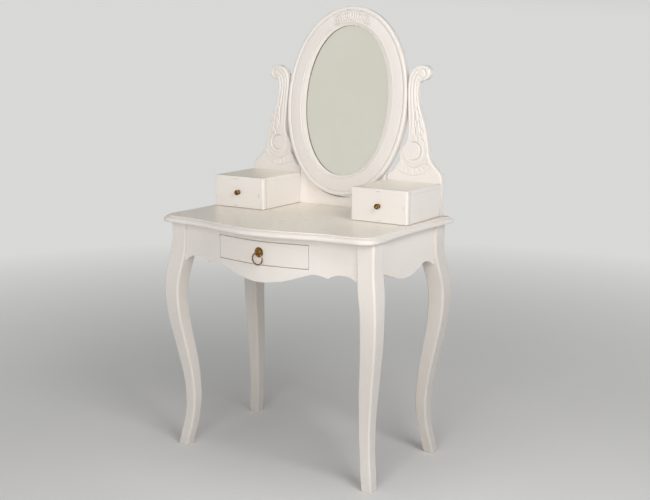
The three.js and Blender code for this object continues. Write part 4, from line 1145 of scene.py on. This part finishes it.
def make_frame():
    ts = even_t(500, 3.2)
    outer = [(-3.2, 11.5), (-1.6, 11.2), (-0.5, 10.2), (0, 8.6), (0, 4.0), (0, -1.0), (0, -5.6), (-0.2, -7.6), (-0.75, -9.5), (-1.7, -11.0),
             (-3.1, -12.0), (-4.9, -12.5), (-7.0, -12.7), (-9.0, -12.55), (-10.8, -12.0), (-12.2, -11.2), (-13.2, -10.55), (-13.9, -10.3), (-14.7, -10.25),
             (-15.5, -10.4), (-16.6, -10.7), (-17.8, -10.95), (-18.8, -11.1)]
    prof = [("o", a, b) for a, b in outer]
    K = 26
    prof += [("f", k / K, 0.0) for k in range(1, K)]
    # small bead, its groove, then the hollow that falls to the glass
    prof += [("s", a, b) for a, b in [(2.6, -11.2), (1.9, -11.55), (1.1, -11.75), (0.3, -11.65), (-0.4, -11.2), (-1.0, -10.5), (-1.5, -9.8), (-2.0, -9.4), (-2.6, -9.45), (-3.3, -9.8)]]
    prof += [("i", f, 0.0) for f in (0.12, 0.25, 0.38, 0.5, 0.62, 0.74, 0.85, 0.94)]
    prof += [("g", a, b) for a, b in [(0.5, -5.75), (0.1, -5.45), (0.0, -5.0), (0.0, -3.6), (0.0, -2.0), (7.0, -2.0), (7.0, 11.5)]]
    V, cav, edge, rabbet_shadow = [], [], [], []
    for t in ts:
        p1 = np.array(oval(MIRROR[0] - 18.8, MIRROR[1] - 18.8, t))
        p2 = np.array(oval(STEP[0] + 2.6, STEP[1] + 2.6, t)) + (0, RISE)
        q1 = np.array(oval(STEP[0] - 3.3, STEP[1] - 3.3, t)) + (0, RISE)
        q2 = np.array(oval(SIGHT[0] + 0.5, SIGHT[1] + 0.5, t)) + (0, RISE)
        for kind, a, n in prof:
            c = e = g = 0.0
            if kind == "f":
                u, v = p1 + a * (p2 - p1)
                n = -11.1 - 0.1 * a - 0.35 * math.sin(math.pi * a)
                if v > 240 and abs(u) < 80:
                    win = float(sstep(0.0, 0.10, a) * (1 - sstep(0.93, 1.0, a)))
                    h = float(crest(u, v)) * win
                    sunk = 1.5 * win * (1 - float(sstep(58, 76, abs(u))))
                    n -= h - sunk
                    # painted shade and soil on the sunk ground round the crest carving
                    c = max(0.0, 0.75 - 0.6 * h) * (sunk / 1.5)
            elif kind == "i":
                u, v = q1 + a * (q2 - q1)
                n = -9.8 + 4.1 * a ** 1.15
            elif kind == "o":
                u, v = oval(MIRROR[0] + a, MIRROR[1] + a, t)
            else:
                A, B = STEP if kind == "s" else SIGHT
                u, v = oval(A + a, B + a, t)
                v += RISE
            if kind == "o":
                # painted shade and soil in the groove of the outer moulding
                if -15.6 < a < -13.0:
                    c = 0.7
                if -9 < a < -0.1 and n < -6:
                    e = 0.62
                if -7 < a < -1.5 and n < -10:
                    e = 0.8
            # painted shade and soil in the groove beside the bead
            if kind == "s" and -2.7 < a < -1.2:
                c = 0.8
            # painted shadow: the sight lip's wall and the glass edge beneath it are darkened near black
            if kind == "g" and a < 0.3:
                g = 1.0 if n > -5.2 else 0.4
            V.append(mplace(float(u), float(v), n))
            cav.append(c)
            edge.append(e)
            rabbet_shadow.append(g)
    n, k = len(ts), len(prof)
    F = []
    for i in range(n):
        for j in range(k):
            i2, j2 = (i + 1) % n, (j + 1) % k
            F.append((i * k + j, i2 * k + j, i2 * k + j2, i * k + j2))
    o = obj("oval_mirror_frame", V, F, angle=50, weighted=False, attrs={"cav": cav, "edge": edge, "rabbet_shadow": rabbet_shadow})
    return piece(o, "mirror", PAINT_FRAME, "painted_wood", "mirror_frame")


make_frame()


def disc(name, node, off, n0, n1, mat, slot, bevel):
    ts = even_t(200, 0.0)
    rings = [(off - 60, n0), (off - 24, n0), (off - 12, n0), (off - 7.4, n0), (off - bevel, n0), (off, n0 + bevel * 0.6), (off, n1 - bevel * 0.6), (off - bevel, n1), (off - 60, n1)]
    V, rim, F = [], [], []
    for o_, n_ in rings:
        for t in ts:
            u, v = oval(SIGHT[0] + o_, SIGHT[1] + o_, t)
            V.append(mplace(float(u), float(v) + RISE, n_))
            rim.append({-24: 0.0, -12: 0.35, -7.4: 1.0}.get(round(o_ - off, 1), 0.0 if o_ - off < -20 else 1.0))
    m = len(ts)
    for i in range(len(rings) - 1):
        for j in range(m):
            j2 = (j + 1) % m
            F.append((i * m + j, i * m + j2, (i + 1) * m + j2, (i + 1) * m + j))
    F.append(tuple(range(m)))
    F.append(tuple(range((len(rings) - 1) * m, len(rings) * m)))
    o = obj(name, V, F, angle=20, attrs={"rim": rim})
    return piece(o, "mirror", mat, slot, node)


disc("oval_mirror_glass", "mirror_glass", 6.5, -1.7, 2.3, GLASS, "mirror_silvered", 1.0)
disc("oval_mirror_backing", "mirror_backing", 6.5, 2.6, 8.6, FIBRE, "plywood", 0.8)


# ------------------------------------------------------------------ carried-over CAD nodes
def finish_node(name, mat, width=0.0007):
    o = NODES[name]
    o.data.materials.clear()
    o.data.materials.append(mat)
    if width:
        m = o.modifiers.new("weld", "WELD")
        m.merge_threshold = 2e-6
        m = o.modifiers.new("ease", "BEVEL")
        m.width = width
        m.segments = 2
        m.limit_method = "ANGLE"
        m.angle_limit = math.radians(40)
        m.use_clamp_overlap = True


for _n in sorted(NODES):
    if _n.startswith("corner_block"):
        finish_node(_n, WOOD_X)
    elif _n.startswith(("drawer_runner", "drawer_kicker", "centre_drawer_side")) or _n.endswith(("drawer_inner_side", "drawer_outer_side")):
        finish_node(_n, WOOD_Y)
    elif _n.endswith("drawer_back"):
        finish_node(_n, WOOD_X)
    elif _n.endswith(("drawer_bottom", "box_bottom")):
        finish_node(_n, PLY_X, 0.0004)
    elif _n.startswith("mirror_pivot") or _n.endswith("knob_screw"):
        finish_node(_n, STEEL, 0.0004)
    elif _n == "pull_nut":
        finish_node(_n, BRASS, 0.0004)

# ------------------------------------------------------------------ studio
PALE = (0.690, 0.690, 0.678)
world = bpy.data.worlds.new("studio_air")
SCENE.world = world
world.use_nodes = True
wt = world.node_tree
tc = wt.nodes.new("ShaderNodeTexCoord")
xyz = wt.nodes.new("ShaderNodeSeparateXYZ")
wt.links.new(tc.outputs["Generated"], xyz.inputs[0])
# pale low down, dimmer overhead; the front of the studio stays pale higher up than the back
lift = wt.nodes.new("ShaderNodeMath")
lift.operation = "MULTIPLY_ADD"
wt.links.new(xyz.outputs["Y"], lift.inputs[0])
lift.inputs[1].default_value = 0.16
wt.links.new(xyz.outputs["Z"], lift.inputs[2])
sky = wt.nodes.new("ShaderNodeValToRGB")
wt.links.new(lift.outputs[0], sky.inputs[0])
sky.color_ramp.elements[0].position = 0.165
sky.color_ramp.elements[0].color = (*PALE, 1)
sky.color_ramp.elements[1].position = 0.385
sky.color_ramp.elements[1].color = (0.15, 0.15, 0.155, 1)
wt.links.new(sky.outputs[0], wt.nodes["Background"].inputs[0])
wt.nodes["Background"].inputs[1].default_value = 1.0

bm = bmesh.new()
bmesh.ops.create_circle(bm, cap_ends=True, cap_tris=False, segments=96, radius=40.0)
me = bpy.data.meshes.new("studio_floor")
bm.to_mesh(me)
bm.free()
floor = bpy.data.objects.new("studio_floor", me)
SCENE.collection.objects.link(floor)
g = Mat("studio_floor_paper")
paper = g.noise(g.co, 1.4, 3.0, 0.5)
g.l(g.ramp(paper, [(0.3, (0.765, 0.765, 0.757)), (0.7, (0.785, 0.785, 0.777))]), g.b.inputs["Base Color"])
g.b.inputs["Roughness"].default_value = 0.85
g.b.inputs["Specular IOR Level"].default_value = 0.2
far = g.n("ShaderNodeVectorMath", operation="LENGTH")
g.l(g.co, far.inputs[0])
fade = g.range(far.outputs["Value"], 0.7, 3.7, 0.0, 1.0)
em = g.n("ShaderNodeEmission")
em.inputs[0].default_value = (*PALE, 1)
mixs = g.n("ShaderNodeMixShader")
g.l(fade, mixs.inputs[0])
g.l(g.b.outputs[0], mixs.inputs[1])
g.l(em.outputs[0], mixs.inputs[2])
g.l(mixs.outputs[0], g.out.inputs[0])
me.materials.append(g.m)


def softbox(name, azimuth, elevation, distance, size, power, colour=(1, 1, 1)):
    """Square soft light aimed at the table; azimuth 0 is the front, 90 the right."""
    d = bpy.data.lights.new(name, "AREA")
    d.shape = "SQUARE"
    d.size = size
    d.energy = power
    d.color = colour
    o = bpy.data.objects.new(name, d)
    SCENE.collection.objects.link(o)
    a, e = math.radians(azimuth), math.radians(elevation)
    at = Vector((0, 0, 0.8))
    o.location = at + distance * Vector((math.sin(a) * math.cos(e), -math.cos(a) * math.cos(e), math.sin(e)))
    o.rotation_euler = (at - o.location).to_track_quat("-Z", "Y").to_euler()
    return o


softbox("front_softbox", 20, 16, 2.7, 1.2, 22.6, (1.0, 0.985, 0.965))
softbox("side_softbox", 64, 30, 2.8, 1.3, 35.4, (1.0, 0.99, 0.985))
softbox("overhead_softbox", 0, 89, 4.0, 2.0, 33.2, (1.0, 1.0, 1.0))

SCENE.view_settings.view_transform = "Standard"
SCENE.view_settings.look = "None"
SCENE.view_settings.exposure = 0.0
SCENE.view_settings.gamma = 1.0

cam_d = bpy.data.cameras.new("camera")
cam = bpy.data.objects.new("camera", cam_d)
SCENE.collection.objects.link(cam)
cam.location = (1.94375, -2.81162, 1.33270)
cam.rotation_euler = Vector((-0.54570, 0.81527, -0.19376)).to_track_quat("-Z", "Y").to_euler()
cam_d.lens = 61.19
cam_d.sensor_width = 36.0
cam_d.sensor_fit = "HORIZONTAL"
cam_d.shift_x = 0.0069
cam_d.shift_y = 0.0008
cam_d.clip_end = 200
SCENE.camera = cam
